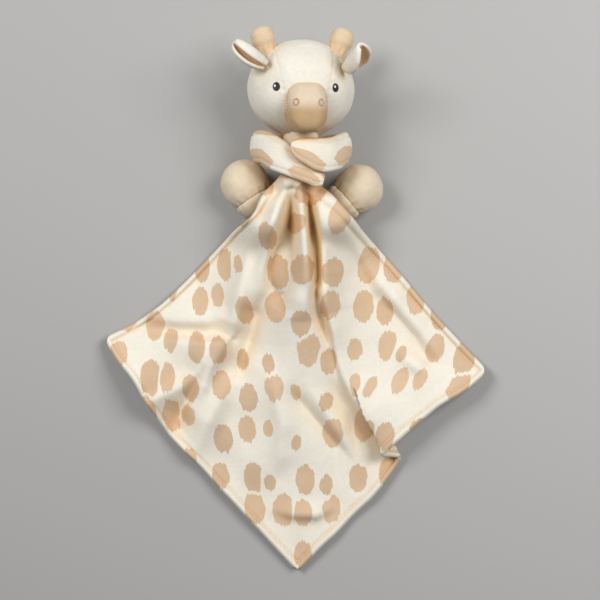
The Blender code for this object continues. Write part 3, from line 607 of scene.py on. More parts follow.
# The folds, each a path in millimetres: x, y, how high the crest stands, and how far the fold
# spreads to the left and to the right of the path as one goes along it
FOLD_PATHS = (
    # Gathers that fan out from the throat
    ((3, 118, 7, 9, 3), (6, 94, 16, 8, 2.4), (9, 65, 18, 9, 2.4), (11, 39, 18, 10, 2.6),
     (12, 17, 14, 11, 4), (9, 0, 8, 14, 9), (6, -19, 0, 16, 12)),
    ((8, 107, 0, 2.5, 3), (13, 92, -10, 2.5, 3), (16, 76, -14, 3, 3.5), (18, 51, -14, 3.5, 4),
     (18, 27, -12, 3.5, 4.5), (19, 12, -5, 4, 5), (21, 0, 0, 5, 6)),
    ((12, 112, 2, 3, 12), (21, 92, 10, 3.5, 16), (24, 72, 15, 4, 20), (26, 51, 18, 4.5, 24),
     (27, 30, 18, 5, 26), (28, 12, 11, 5, 26), (31, -10, 0, 5, 26)),
    ((-2, 109, 0, 4, 4), (-4, 94, -8, 4, 3.5), (-7, 72, -14, 5, 5), (-10, 51, -17, 7, 6.5),
     (-13, 27, -16, 9, 8), (-14, 4, -12, 11, 9), (-10, -15, 0, 14, 12)),
    ((-8, 118, 8, 5, 4), (-14, 99, 15, 7, 4), (-21, 78, 20, 10, 5), (-28, 56, 20, 13, 6),
     (-34, 33, 16, 14, 8), (-38, 12, 10, 15, 12), (-42, -9, 0, 15, 12)),
    ((-33, 85, 0, 12, 8), (-43, 61, 9, 14, 9), (-51, 31, 15, 16, 10), (-56, 2, 16, 16, 11),
     (-62, -20, 11, 14, 9), (-67, -34, 0, 10, 7)),
    # The long fold on the right that ends in the pleat
    ((15, 22, 0, 3, 16), (24, 10, 8.4, 2, 16), (30, -9, 11, 1.8, 18), (35, -27, 10, 2, 20),
     (40, -49, 7, 2.5, 24), (46, -75, 7, 3, 24), (54, -96, 8.4, 3, 22), (64, -116, 10, 3, 20),
     (75, -138, 0, 3, 20)),
    ((8, 21, 0, 8, 5), (17, 3, -7, 9, 4), (23, -14, -9, 9, 4), (28, -27, -7, 8, 4),
     (34, -42, 0, 6, 4)),
    ((48, 64, 0, 9, 10), (63, 38, -5.6, 11, 11), (79, 2, -5.6, 12, 12), (93, -29, 0, 12, 12)),
    ((25, 101, 4, 9, 7), (48, 70, 7, 11, 9), (75, 30, 7, 12, 10), (98, -2, 5.6, 12, 10),
     (122, -35, 0, 12, 10)),
    # The pinched fold on the left, and what lies under it
    ((-177, -31, 2, 24, 8), (-145, -37, 7, 26, 8), (-116, -40, 11, 26, 7), (-91, -41, 14, 22, 6),
     (-75, -40, 12, 14, 4), (-65, -39, 0, 8, 3)),
    ((-165, -10, 0, 9, 14), (-140, -15, 5, 8, 16), (-115, -18, 8, 8, 18), (-90, -18, 8, 8, 18),
     (-66, -14, 0, 8, 14)),
    ((-72, -46, 10, 15, 7), (-84, -62, 15, 18, 8), (-93, -82, 15, 18, 8), (-105, -103, 10, 18, 9),
     (-118, -124, 0, 14, 9)),
    ((-24, 20, 0, 9, 8), (-38, -8, -7, 9, 8), (-47, -38, -10, 9, 8), (-55, -60, -8, 9, 8),
     (-62, -80, 0, 9, 9)),
    ((-151, -101, 4, 11, 7), (-132, -91, 7, 11, 6), (-113, -82, 8, 11, 6), (-98, -70, 5, 9, 6),
     (-89, -56, 0, 6, 9)),
    ((-84, -55, 0, 9, 9), (-95, -74, -9, 10, 9), (-106, -94, -11, 10, 9), (-116, -112, -9, 9, 8),
     (-126, -131, 0, 8, 8)),
    ((-60, -66, 0, 18, 12), (-74, -92, 10, 18, 12), (-88, -118, 12, 16, 12),
     (-98, -142, 5, 14, 12), (-106, -160, 0, 12, 12)),
    # Slack folds lower down
    ((-12, -80, 0, 9, 9), (4, -99, -6, 9, 8), (24, -123, -7, 9, 8), (45, -150, -7, 9, 8),
     (59, -173, -4, 8, 8), (67, -191, 0, 8, 8)),
    ((4, -75, 0, 10, 9), (22, -98, 4, 10, 9), (41, -127, 6, 10, 9), (54, -152, 4, 9, 9),
     (65, -177, 0, 9, 9)),
    ((80, 14, 0, 8, 9), (93, -5, -7, 9, 9), (115, -34, -9, 9, 9), (139, -60, -7, 8, 9),
     (152, -72, 0, 8, 9)),
    ((76, 30, 0, 11, 12), (97, 4, 6, 12, 8), (120, -24, 8, 12, 8), (140, -48, 5, 10, 8),
     (153, -62, 0, 8, 8)),
    ((31, -73, 0, 8, 5), (46, -102, -7, 8, 5), (59, -127, -10, 9, 5), (72, -152, -8, 9, 5),
     (79, -167, 0, 9, 5)),
    ((-30, -60, 0, 9, 12), (-20, -90, 5, 9, 12), (-14, -120, 7, 9, 13), (-16, -152, 4, 9, 12),
     (-22, -175, 0, 9, 12)),
    ((-34, -204, 0, 6, 12), (-6, -210, 6, 6, 12), (19, -211, 7, 5, 12), (41, -202, 0, 6, 12)),
    ((95, -42, 0, 6, 9), (113, -57, 4, 6, 9), (130, -67, 6, 5, 9), (146, -75, 0, 6, 9)),
)
LEFT_SPREADS = ((0.0, 1.0), (0.12, 0.98), (0.20, 0.84), (0.29, 0.94), (0.60, 0.97), (0.85, 1.072))
RIGHT_SPREADS = ((0.0, 1.0), (0.11, 1.18), (0.24, 1.08), (0.45, 1.025), (0.66, 0.985),
                 (0.92, 0.975))
# The pleat: how far round from its middle, how far the cloth is drawn back round it, how far it is
# drawn in, and how high it stands, in millimetres
PLEAT_HEADING = math.radians(-20.3)
PLEAT_TABLE = (
    (-100, 0, 0, 0), (-45, -1, 0, 0), (-25, -2, 3, 0), (-13, -5, 7, 0.5), (-7, -7, 10, 2),
    (0, 8, 13, 8), (7, 23, 14, 14), (14, 23, 14, 17), (28, 21, 14, 19), (65, 15, 14, 19),
    (95, 6, 5, 15), (118, 0, 2, 8), (150, 0, 0, 5),
)
BODY_SHARES = ((0.0, 0.0, 0.0), (0.02, 0.35, 0.0), (0.07, 0.70, 0.0), (0.16, 0.93, 0.0),
               (0.30, 1.0, 0.0), (0.45, 0.96, 0.0), (0.60, 0.68, 0.20), (0.70, 0.40, 0.50),
               (0.80, 0.10, 0.88), (0.87, 0.0, 1.0), (1.0, 0.0, 1.0))
BODY_X, BODY_BOTTOM_Y, NECK_TOP_Y = 0.0016, 0.0024, 0.1645
BODY_HALF_WIDTH, BODY_HALF_DEPTH, NECK_RADIUS = 0.0225, 0.0165, 0.0170
ARM_SHARES = ((0.0, 0.0), (0.03, 0.28), (0.10, 0.50), (0.18, 0.567), (0.29, 0.76), (0.40, 0.85),
              (0.46, 0.83), (0.54, 0.93), (0.66, 1.0), (0.79, 0.95), (0.90, 0.72), (0.975, 0.36),
              (1.0, 0.0))
ARM_Z, ARM_FLATTEN = 0.02158, 0.92


def body_sections(share):
    """Centres and half sizes of the body's sections at shares of its length."""
    belly, neck = curve_through(BODY_SHARES, share).T
    belly_z = BODY_HALF_DEPTH - 0.0005
    centres = np.stack([
        BODY_X + (HEAD_CENTRE.x - BODY_X) * neck,
        BODY_BOTTOM_Y + (NECK_TOP_Y - BODY_BOTTOM_Y) * np.atleast_1d(share),
        belly_z + (HEAD_CENTRE.z - belly_z) * neck,
    ], axis=1)
    wide = belly * BODY_HALF_WIDTH + neck * NECK_RADIUS
    deep = belly * BODY_HALF_DEPTH + neck * NECK_RADIUS
    return centres, wide, deep


def over_body(x, y):
    stations = np.linspace(0, 1, 200)
    centres, wide, deep = body_sections(stations)
    share = (y - BODY_BOTTOM_Y) / (NECK_TOP_Y - BODY_BOTTOM_Y)
    middle_x = np.interp(share, stations, centres[:, 0])
    middle_z = np.interp(share, stations, centres[:, 2])
    wide = np.interp(share, stations, wide, left=0)
    deep = np.interp(share, stations, deep, left=0)
    off = np.abs(x - middle_x) / (wide + 0.0080)
    inside = (off < 1) & (share > 0)
    deep = deep + BACK_THICKNESS + 0.0012
    return np.where(inside, middle_z + deep * np.sqrt(np.maximum(1 - off**2, 0)), 0)


def over_arm(x, y, shoulder, heading):
    forward = (x - shoulder.x) * math.cos(heading) + (y - shoulder.y) * math.sin(heading)
    across = (y - shoulder.y) * math.cos(heading) - (x - shoulder.x) * math.sin(heading)
    along = np.clip(forward, 0, HOOF_SEAM * ARM_LENGTH)
    away = np.hypot(across, forward - along)
    limb = HOOF_RADIUS * ARM_FLATTEN
    shares = (along + ARM_ROOT_RADIUS) / ARM_LENGTH
    top = ARM_Z + 0.0120 + limb * np.interp(shares, *zip(*ARM_SHARES))
    return top / (1 + (away / 0.0280) ** 4)


def blanket_lines(count):
    """Places of the grid's lines from hem to hem, close together along the hems."""
    edge = np.linspace(0, 0.0090, 12)
    middle = np.linspace(0.0090, CLOTH_SIDE - 0.0090, count)[1:-1]
    return np.concatenate([edge, middle, CLOTH_SIDE - edge[::-1]])


def rounded_square(line):
    """Grid points of the flat blanket from its throat corner, with the other corners rounded."""
    a, b = np.meshgrid(line, line, indexing="ij")
    corner = 0.0125
    low, high = corner, CLOTH_SIDE - corner
    for flip_a, flip_b in ((False, False), (True, False), (False, True)):
        s = np.clip((low - a if flip_a else a - high) / corner, 0, 1)
        t = np.clip((low - b if flip_b else b - high) / corner, 0, 1)
        both = (s > 0) & (t > 0)
        round_a = corner * s * np.sqrt(1 - t**2 / 2)
        round_b = corner * t * np.sqrt(1 - s**2 / 2)
        a = np.where(both, low - round_a if flip_a else high + round_a, a)
        b = np.where(both, low - round_b if flip_b else high + round_b, b)
    return a, b


def fold_height(x, y, path):
    """How far one fold lifts or sinks the cloth."""
    path = np.asarray(path, float) / 1000
    nearest = np.full(x.shape, np.inf)
    lift = np.zeros(x.shape)
    for start, end in zip(path, path[1:]):
        run = end[:2] - start[:2]
        share = ((x - start[0]) * run[0] + (y - start[1]) * run[1]) / (run @ run)
        share = np.clip(share, 0, 1)
        off_x, off_y = x - start[0] - share * run[0], y - start[1] - share * run[1]
        away = np.hypot(off_x, off_y)
        crest, left, right = (start[k] + (end[k] - start[k]) * share for k in (2, 3, 4))
        spread = np.where(run[0] * off_y - run[1] * off_x > 0, right, left)
        here = away < nearest
        lift = np.where(here, crest * np.exp(-((away / spread) ** 1.6)), lift)
        nearest = np.minimum(nearest, away)
    return lift


def soften(grid, times):
    """Evens a grid of heights out a little, its rim left as it is."""
    for _ in range(times):
        inner = grid[1:-1, 1:-1]
        around = grid[:-2, 1:-1] + grid[2:, 1:-1] + grid[1:-1, :-2] + grid[1:-1, 2:]
        grid = grid.copy()
        grid[1:-1, 1:-1] = inner * 0.5 + around * 0.125
    return grid


def blanket_middle(a, b):
    """Where each flat point of the cloth lies: folds fan out from the throat over the chest."""
    quarter = math.pi / 4
    heading = np.where(a + b > 0, quarter - np.arctan2(b, a), 0)
    start = 0.0150
    reach = start + np.hypot(a, b) * (1 - start / CLOTH_SIDE)
    to_left = np.clip(heading / quarter, 0, 1) ** 2
    to_right = np.clip(-heading / quarter, 0, 1) ** 2
    away = reach * (0.947 - 0.115 * to_left**0.6 - 0.019 * to_right)
    # The lower left hem bulges out where it curls, with a notch just above
    turned = np.degrees(heading)
    curl = 0.0040 * bell(turned - 25, 6) - 0.0035 * bell(turned - 35, 4)
    flat = np.stack([reach * np.cos(heading), reach * np.sin(heading), 0 * a], axis=-1)
    wave = lumps(flat.reshape(-1, 3), 27, 0.0016, 3.0).reshape(a.shape)
    away = away + (curl + wave) * smooth_step(0.16, 0.30, reach)
    for table, share in ((LEFT_SPREADS, to_left), (RIGHT_SPREADS, to_right)):
        spread = curve_through(table, (away / CLOTH_SIDE).ravel())[:, 0].reshape(a.shape)
        heading = heading * (1 + (spread - 1) * share)
    heading = heading - 0.013 * (1 - to_left - to_right)
    x = THROAT[0] - away * np.sin(heading)
    y = THROAT[1] - away * np.cos(heading)
    lift = sum(fold_height(x, y, path) for path in FOLD_PATHS)
    # The pleat: the cloth to the right is drawn over that to the left, more so towards the hem
    pleat_heading = PLEAT_HEADING + 1.2 * np.maximum(0.290 - away, 0)
    round_by = (pleat_heading - heading) * away
    back, inwards, stand = (
        curve_through(PLEAT_TABLE, round_by.ravel() * 1000).T.reshape(3, *a.shape) / 1000)
    shown = smooth_step(0.1950, 0.2900, away)
    lift = lift + stand * shown
    heading = heading + back * shown / away
    away = away - inwards * shown
    x = THROAT[0] - away * np.sin(heading)
    y = THROAT[1] - away * np.cos(heading)
    return np.stack([x, y, blanket_height(a, b, x, y, away, lift)], axis=-1)


def blanket_height(a, b, x, y, away, lift):
    hump = curve_through(HUMP_SHARES, (away / HUMP_LENGTH).ravel())[:, 0].reshape(x.shape)
    hump = HUMP_TOP * hump / (1 + (np.abs(x - BODY_X) / HUMP_HALF_WIDTH) ** 2.6)
    height = (hump**4 + over_arm(x, y, *LEFT_SHOULDER) ** 4
              + over_arm(x, y, *RIGHT_SHOULDER) ** 4) ** 0.25
    # Air trapped under the slack middle, and hems that curl up off the floor
    height = height + 0.0110 * bell(np.hypot(x + 0.020, y + 0.085), 0.105)
    height = height + 0.0220 * bell(np.hypot(x + 0.158, y + 0.086), 0.036)
    to_hem = np.minimum(CLOTH_SIDE - a, CLOTH_SIDE - b)
    height = height + 0.0045 * bell(to_hem, 0.0140)
    flat = np.stack([a, b, 0 * a], axis=-1).reshape(-1, 3)
    slack = lumps(flat, 17, 0.0035) + lumps(flat, 38, 0.0012, 6.0)
    height = height + lift + slack.reshape(a.shape) * smooth_step(0.05, 0.12, away)
    lowest = BACK_THICKNESS + SEAM_GAP / 2
    height = lowest + settle(soften(height, 2) - lowest, 0.0012)
    return np.maximum(height, over_body(x, y))


def settle(height, softness):
    """Heights below the floor come to rest on it without a crease."""
    return np.where(height > 30 * softness, height,
                    softness * np.logaddexp(0, np.minimum(height / softness, 30)))


def thickness_ways(points):
    """Between the cloth's normal and straight up, so that steep folds never cross."""
    normals = np.cross(np.gradient(points, axis=0), np.gradient(points, axis=1))
    normals /= np.linalg.norm(normals, axis=2, keepdims=True) + 1e-12
    normals *= normals[..., 2:3]
    normals[..., 2] += 0.6
    return normals / np.linalg.norm(normals, axis=2, keepdims=True)


def make_blanket():
    line = blanket_lines(186)
    a, b = rounded_square(line)
    points = blanket_middle(a, b)
    ways = thickness_ways(points)
    to_hem = np.minimum(np.minimum(a, b), np.minimum(CLOTH_SIDE - a, CLOTH_SIDE - b))
    round_off = np.sqrt(np.clip(1 - (1 - np.clip(to_hem / 0.0030, 0, 1)) ** 2, 0, 1))
    groove = 0.75 * bell(to_hem - HEM_WIDTH, 0.0012)
    swell = 1.15 * bell(to_hem - 0.0036, 0.0030)
    rim = 0.12 + 0.88 * round_off
    half = SEAM_GAP / 2
    cloth_map = np.stack([(b - a) / math.sqrt(2), (a + b) / math.sqrt(2)], axis=-1).reshape(-1, 2)
    cloth_map = np.concatenate([cloth_map, cloth_map])
    top = points + ways * (half + FRONT_THICKNESS * (1 - groove + swell) * rim)[..., None]
    front = piece_from(
        "blanket_front_cloth", *closed_sheet(top, points + ways * half), VELOUR, cloth_map)
    low = points - ways * (half + BACK_THICKNESS * rim)[..., None]
    back = piece_from(
        "blanket_back_cloth", *closed_sheet(points - ways * half, low), BACKING, cloth_map)
    dress(front, "root", "printed_velour", "blanket_front")
    dress(back, "root", "plain_backing", "blanket_back")
    stitches = stitch_hem(line, top, ways)


def stitch_hem(line, top, ways):
    """Topstitching that runs all along the hem, a little in from the edge."""
    near, far = HEM_WIDTH, CLOTH_SIDE - HEM_WIDTH
    out = np.linspace(0.026, far, 300)
    across = np.linspace(near, far, 300)
    flat = np.concatenate([
        np.stack([out, np.full(300, near)], 1),
        np.stack([np.full(300, far), across], 1),
        np.stack([across[::-1], np.full(300, far)], 1),
        np.stack([np.full(300, near), out[::-1]], 1),
    ])

    def read(grid):
        i = np.clip(np.searchsorted(line, flat[:, 0]) - 1, 0, len(line) - 2)
        j = np.clip(np.searchsorted(line, flat[:, 1]) - 1, 0, len(line) - 2)
        s = ((flat[:, 0] - line[i]) / (line[i + 1] - line[i]))[:, None]
        t = ((flat[:, 1] - line[j]) / (line[j + 1] - line[j]))[:, None]
        return ((1 - s) * (1 - t) * grid[i, j] + s * (1 - t) * grid[i + 1, j]
                + (1 - s) * t * grid[i, j + 1] + s * t * grid[i + 1, j + 1])

    row = stitch_row("hem_topstitch", read(top), read(ways), SEWING_THREAD)
    return dress(row, "root", "printed_velour")


# Head


def unit_ball(segments, rings):
    """Points and faces of a ball of radius 1 with its poles on Z, to be shaped into a piece."""
    angles = TURN * np.arange(segments) / segments
    from_pole = (math.pi * np.arange(1, rings) / rings)[:, None]
    ball = np.stack([
        np.sin(from_pole) * np.cos(angles), np.sin(from_pole) * np.sin(angles),
        np.cos(from_pole) + 0 * angles,
    ], axis=2)
    return tube(ball, (0, 0, 1), (0, 0, -1))


def gusset_seam(points):
    """How far a point is to the side of the nearer seam that runs from the muzzle to the nape."""
    angle = np.arctan2(points[:, 2] / HEAD_HALVES[2], points[:, 1] / HEAD_HALVES[1])
    turned = np.degrees(angle)
    side = np.interp(turned, (-180, -120, -60, 0, 25, 60, 95, 130, 180),
                     (0.006, 0.012, 0.021, 0.0275, 0.0285, 0.0275, 0.0225, 0.016, 0.006))
    return np.abs(points[:, 0]) - side


def horn_places():
    for side, label in SIDES:
        lean = Vector((side * HORN_LEAN[0], *HORN_LEAN[1:])).normalized()
        yield side, label, Vector((side * HORN_BASE[0], *HORN_BASE[1:])), lean


def make_head():
    ball, faces = unit_ball(*(((200, 140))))
    # The ball's poles are turned towards the crown and the neck
    ways = np.stack([ball[:, 0], ball[:, 2], -ball[:, 1]], axis=1)
    points = ways * np.array(HEAD_HALVES)
    rise = lumps(points, 22, 0.0009) + lumps(points, 60, 0.00040, 5.0)
    seam = gusset_seam(points)
    along = points[:, 1] * 900 + points[:, 2] * 700
    rise -= 0.0006 * bell(seam, 0.0008)
    rise += 0.00018 * np.sin(along) * bell(seam, 0.0030)
    for side, _ in SIDES:
        eye = np.array([side * EYE_SPREAD, -EYE_DROP, 0.0385])
        rise -= 0.0009 * bell(np.linalg.norm(points - eye, axis=1), 0.0055)
    for side, _, base, lean in horn_places():
        across = points - np.array(base + lean * 0.012)
        lean = np.array(lean)
        flat = across - np.outer(across @ lean, lean)
        turn = np.arctan2(flat[:, 2], flat[:, 0])
        near = bell(np.linalg.norm(flat, axis=1) - 0.0125, 0.0040) * (across @ lean > -0.012)
        rise += near * (0.00055 * np.cos(11 * turn + side) - 0.0006)
    turn = np.arctan2(points[:, 2], points[:, 0])
    rise += bell(points[:, 1] + 0.049, 0.012) * 0.0005 * np.cos(18 * turn)
    rise -= 0.0013 * smooth_step(-0.018, -0.036, points[:, 1])
    for root, _, _, _ in (LEFT_EAR, RIGHT_EAR):
        off = np.linalg.norm(points - np.array(HEAD_PLACE.inverted() @ Vector(root)), axis=1)
        rise -= 0.0017 * bell(off, 0.0150)
    points = points + ways / np.linalg.norm(ways, axis=1, keepdims=True) * rise[:, None]
    head = piece_from("head_plush", on_head(points), faces, CREAM_PLUSH)
    dress(head, "head", "cream_plush", "head_skin")
    return head


def on_head(points):
    """Where points of the head's own frame lie in the toy, none of them under the floor."""
    turned = points @ np.array(HEAD_PLACE.to_3x3()).T + np.array(HEAD_PLACE.translation)
    turned[:, 2] = np.maximum(turned[:, 2], 0)
    return turned


def muzzle_surface(ways):
    squared = np.sign(ways) * np.abs(ways) ** 0.62
    longest = np.maximum(1, np.linalg.norm(squared, axis=1) / 1.19)
    x, y, z = (squared / longest[:, None]).T
    return np.stack([
        MUZZLE_HALVES[0] * x, MUZZLE_HALVES[1] * y - MUZZLE_DROP - MUZZLE_SLOPE * z,
        MUZZLE_HALVES[2] * z + MUZZLE_FORWARD,
    ], axis=1)


def make_muzzle():
    ways, faces = unit_ball(*(((144, 96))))
    points = muzzle_surface(ways)
    rise = lumps(points, 40, 0.0005, 9.0)
    side = np.abs(points[:, 0]) - MUZZLE_SEAM
    rise -= 0.0009 * bell(side, 0.0009)
    rise += 0.0002 * np.sin(points[:, 1] * 1500 + points[:, 2] * 1100) * bell(side, 0.0026)
    points = on_head(points + ways * rise[:, None])
    muzzle = piece_from("muzzle_plush", points, faces, MUZZLE_PLUSH)
    dress(muzzle, "head", "tan_plush", "muzzle_skin")
    for side, label in SIDES:
        stitch_muzzle(muzzle, side, label)
    return muzzle


def surface_hit(piece, start, way):
    """Where a line in the head's own frame meets a placed piece, and the normal there."""
    run = (HEAD_PLACE.to_3x3() @ Vector(way)).normalized()
    found, spot, normal, _ = piece.ray_cast(HEAD_PLACE @ Vector(start), run)
    return (spot, normal) if found else None


def seen_from_front(piece, x, y):
    """Where a line straight down onto the face meets a placed piece, and the normal there."""
    return surface_hit(piece, (x, y, 0.1), (0, 0, -1))


def stitch_muzzle(muzzle, side, label):
    """Small stitches that show along each side seam of the muzzle."""
    spots, normals = [], []
    for step in np.linspace(0, 1, 80):
        angle = math.radians(100 - 165 * step)
        out_y, out_z = math.cos(angle), math.sin(angle)
        start = (side * MUZZLE_SEAM, 0.06 * out_y - MUZZLE_DROP - 0.006, 0.06 * out_z + 0.034)
        hit = surface_hit(muzzle, start, (0, -out_y, -out_z))
        if hit:
            spots.append(tuple(hit[0]))
            normals.append(tuple(hit[1]))
    row = stitch_row(f"{label}_muzzle_stitches", spots, normals, MUZZLE_THREAD,
                     length=0.0016, pitch=0.0029, radius=0.00038)
    dress(row, "head", "tan_plush")


# Embroidery


def satin_dome(name, halves, lift, ridges, finish, lean=0.0):
    """A padded oval of satin stitch in its own plane, its threads side by side."""
    rows, columns = 40, 60
    points = []
    for i in range(rows):
        radius = i / (rows - 1)
        for j in range(columns):
            angle = TURN * j / columns
            x, y = radius * math.cos(angle), radius * math.sin(angle)
            thread = 0.5 + 0.5 * math.cos(ridges * math.pi * (x + lean * y))
            height = lift * math.sqrt(max(1 - radius**2.4, 0)) + 0.00010 * thread * (1 - radius**8)
            points.append((halves[0] * x, halves[1] * y, height))
    base = len(points)
    points.append((0, 0, -0.0004))
    faces = grid_faces(rows, columns, 0, wrap=True)
    rim = (rows - 1) * columns
    faces += [(rim + j, rim + (j + 1) % columns, base) for j in range(columns)]
    piece = piece_from(name, points, faces, finish)
    mesh = bmesh.new()
    mesh.from_mesh(piece.data)
    bmesh.ops.remove_doubles(mesh, verts=mesh.verts, dist=1e-6)
    bmesh.ops.recalc_face_normals(mesh, faces=mesh.faces)
    mesh.to_mesh(piece.data)
    mesh.free()
    return piece


def lay_on(piece, spot, normal, sink=0.0):
    """Puts a flat piece on a surface, its own Z along the normal and its Y towards the crown."""
    up = normal.normalized()
    across = Vector((0, 1, 0)).cross(up).normalized()
    along = up.cross(across)
    turn = Matrix((across, along, up)).transposed()
    points = read_points(piece)
    write_points(piece, points @ np.array(turn).T + np.array(spot - up * sink))
    outward(piece)


def make_eyes(head):
    for side, label in SIDES:
        spot, normal = seen_from_front(head, side * EYE_SPREAD, -EYE_DROP)
        eye = satin_dome(f"{label}_eye_stitching", (0.0040, 0.0044), 0.0013, 15, EYE_THREAD, 0.25)
        lay_on(eye, spot, normal, 0.0002)
        dress(eye, "head", "eye_thread", f"{label}_eye")
        glint = satin_dome(f"{label}_eye_glint", (0.0010, 0.0012), 0.0004, 5, GLINT_THREAD, 0.25)
        across = Vector((0, 1, 0)).cross(normal).normalized()
        along = normal.cross(across)
        lay_on(glint, spot - across * 0.0012 + along * 0.0007 + normal * 0.0010, normal)
        dress(glint, "head", "eye_thread")


def make_nostrils(muzzle):
    steps, sides = 96, 10
    for side, label in SIDES:
        rings = []
        facing = seen_from_front(muzzle, side * NOSTRIL_SPREAD, -NOSTRIL_DROP)[1]
        for i in range(steps):
            angle = TURN * i / steps
            x = side * NOSTRIL_SPREAD + 0.0021 * math.cos(angle)
            y = -NOSTRIL_DROP + 0.0029 * math.sin(angle)
            spot, normal = seen_from_front(muzzle, x, y)
            normal = (normal + facing).normalized()
            out = HEAD_PLACE.to_3x3() @ Vector((math.cos(angle), math.sin(angle), 0))
            out = (out - normal * out.dot(normal)).normalized()
            radius = 0.00062 + 0.00008 * math.cos(24 * angle)
            middle = spot + normal * 0.00035
            rings.append([
                middle + (out * math.cos(t) + normal * 0.75 * math.sin(t)) * radius
                for t in (TURN * k / sides for k in range(sides))
            ])
        points, faces = tube(rings)
        last = (steps - 1) * sides
        faces += [(last + k, last + (k + 1) % sides, (k + 1) % sides, k) for k in range(sides)]
        ring = piece_from(f"{label}_nostril_stitching", points, faces, NOSTRIL_THREAD)
        dress(ring, "head", "nostril_thread", f"{label}_nostril")


# Horns and ears

HORN_SHARES = ((0.0, 0.84), (0.25, 0.80), (0.42, 0.86), (0.60, 1.0), (0.78, 0.97), (0.91, 0.76),
               (0.98, 0.38), (1.0, 0.0))


def make_horns():
    for side, label, base, lean in horn_places():
        turn = lean.to_track_quat("Z", "Y").to_matrix()
        sides = 64
        rings = []
        for share in 1 - (1 - np.linspace(0.0, 0.997, 60)) ** 1.3:
            radius = curve_through(HORN_SHARES, share)[0, 0] * HORN_RADIUS
            ring = []
            for k in range(sides):
                angle = TURN * k / sides
                pucker = 0.0005 * math.cos(9 * angle) * bell(share - 0.30, 0.10)
                seam = -0.0005 * bell(math.sin(angle), 0.10) * (share < 0.98)
                wide = radius + (pucker + seam) * min(1, radius / 0.006)
                ring.append((wide * math.cos(angle), wide * math.sin(angle), share * HORN_LENGTH))
            rings.append(ring)
        points, faces = tube(rings, (0, 0, 0), (0, 0, HORN_LENGTH))
        points = points + points / 0.03 * lumps(points, 60, 0.0005, 3.0 * side)[:, None]
        points = points @ np.array(turn).T + np.array(base)
        horn = piece_from(f"{label}_horn_plush", on_head(points), faces, TAN_PLUSH)
        dress(horn, "head", "tan_plush", f"{label}_horn_skin")


EAR_SHARES = ((0.0, 0.46), (0.22, 0.84), (0.50, 1.0), (0.76, 0.88), (0.92, 0.60), (1.0, 0.32))


def ear_grid(folds, depth):
    """Local points of a folded leaf, moved out from its middle surface by a depth per point."""
    rows, columns = ((60, 48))
    along, across = np.meshgrid(np.linspace(0, 1, rows), np.linspace(-1, 1, columns), indexing="ij")
    half_width = curve_through(EAR_SHARES, along.ravel())[:, 0].reshape(along.shape)
    half_width = half_width * EAR_HALF_WIDTH
    fold = np.radians(folds[0] + (folds[1] - folds[0]) * along)
    radius = half_width / fold
    angle = fold * across
    rim = np.minimum((1 - np.abs(across)) * half_width, (1 - along) * EAR_LENGTH) / 0.0016
    rim = np.sqrt(np.clip(1 - (1 - np.clip(rim, 0, 1)) ** 2, 0, 1))
    out = radius + depth * (0.15 + 0.85 * rim)
    return np.stack([out * np.sin(angle), radius - out * np.cos(angle), along * EAR_LENGTH], axis=2)


def make_ears():
    for label, (root, lean, opening, folds) in (("left", LEFT_EAR), ("right", RIGHT_EAR)):
        along = Vector(lean).normalized()
        across = Vector(opening).cross(along).normalized()
        turn = Matrix((across, along.cross(across), along)).transposed()
        # The pivot's own axes are turned with the head
        turn = HEAD_PLACE.to_3x3() @ turn
        half = SEAM_GAP / 2
        for part, near, far, finish, slot in (
            ("outer", half, half + EAR_OUTER_THICKNESS, CREAM_PLUSH, "cream_plush"),
            ("lining", -half, -half - EAR_LINING_THICKNESS, LINING_PLUSH, "tan_plush"),
        ):
            points, faces = closed_sheet(ear_grid(folds, far), ear_grid(folds, near))
            points = points @ np.array(turn).T + np.array(root)
            ear = piece_from(f"{label}_ear_{part}_cloth", points, faces, finish)
            dress(ear, f"{label}_ear", slot, f"{label}_ear_{part}")


# Body and arms


def ellipse_rings(centres, side, up, wide, deep, sides):
    angles = TURN * np.arange(sides) / sides
    return (centres[:, None, :]
            + np.cos(angles)[None, :, None] * np.array(side) * wide[:, None, None]
            + np.sin(angles)[None, :, None] * np.array(up) * deep[:, None, None])


def make_body():
    shares = np.concatenate([np.linspace(0.002, 0.06, 8)[:-1], np.linspace(0.06, 1.0, 70)])
    centres, wide, deep = body_sections(shares)
    rings = ellipse_rings(centres, (1, 0, 0), (0, 0, 1), wide, deep, 48)
    first, last = body_sections(0.0)[0][0], centres[-1]
    points, faces = tube(rings, first, last)
    middle = np.repeat(centres, 48, axis=0)
    middle = np.concatenate([middle, [first, last]])
    out = points - middle
    size = np.linalg.norm(out, axis=1, keepdims=True) + 1e-9
    points = points + out / size * (lumps(points, 35, 0.0006, 2.0) - 0.0002)[:, None]
    points[:, 2] = np.maximum(points[:, 2], 0)
    body = piece_from("body_plush", points, faces, CREAM_PLUSH)
    dress(body, "root", "cream_plush", "body_skin")


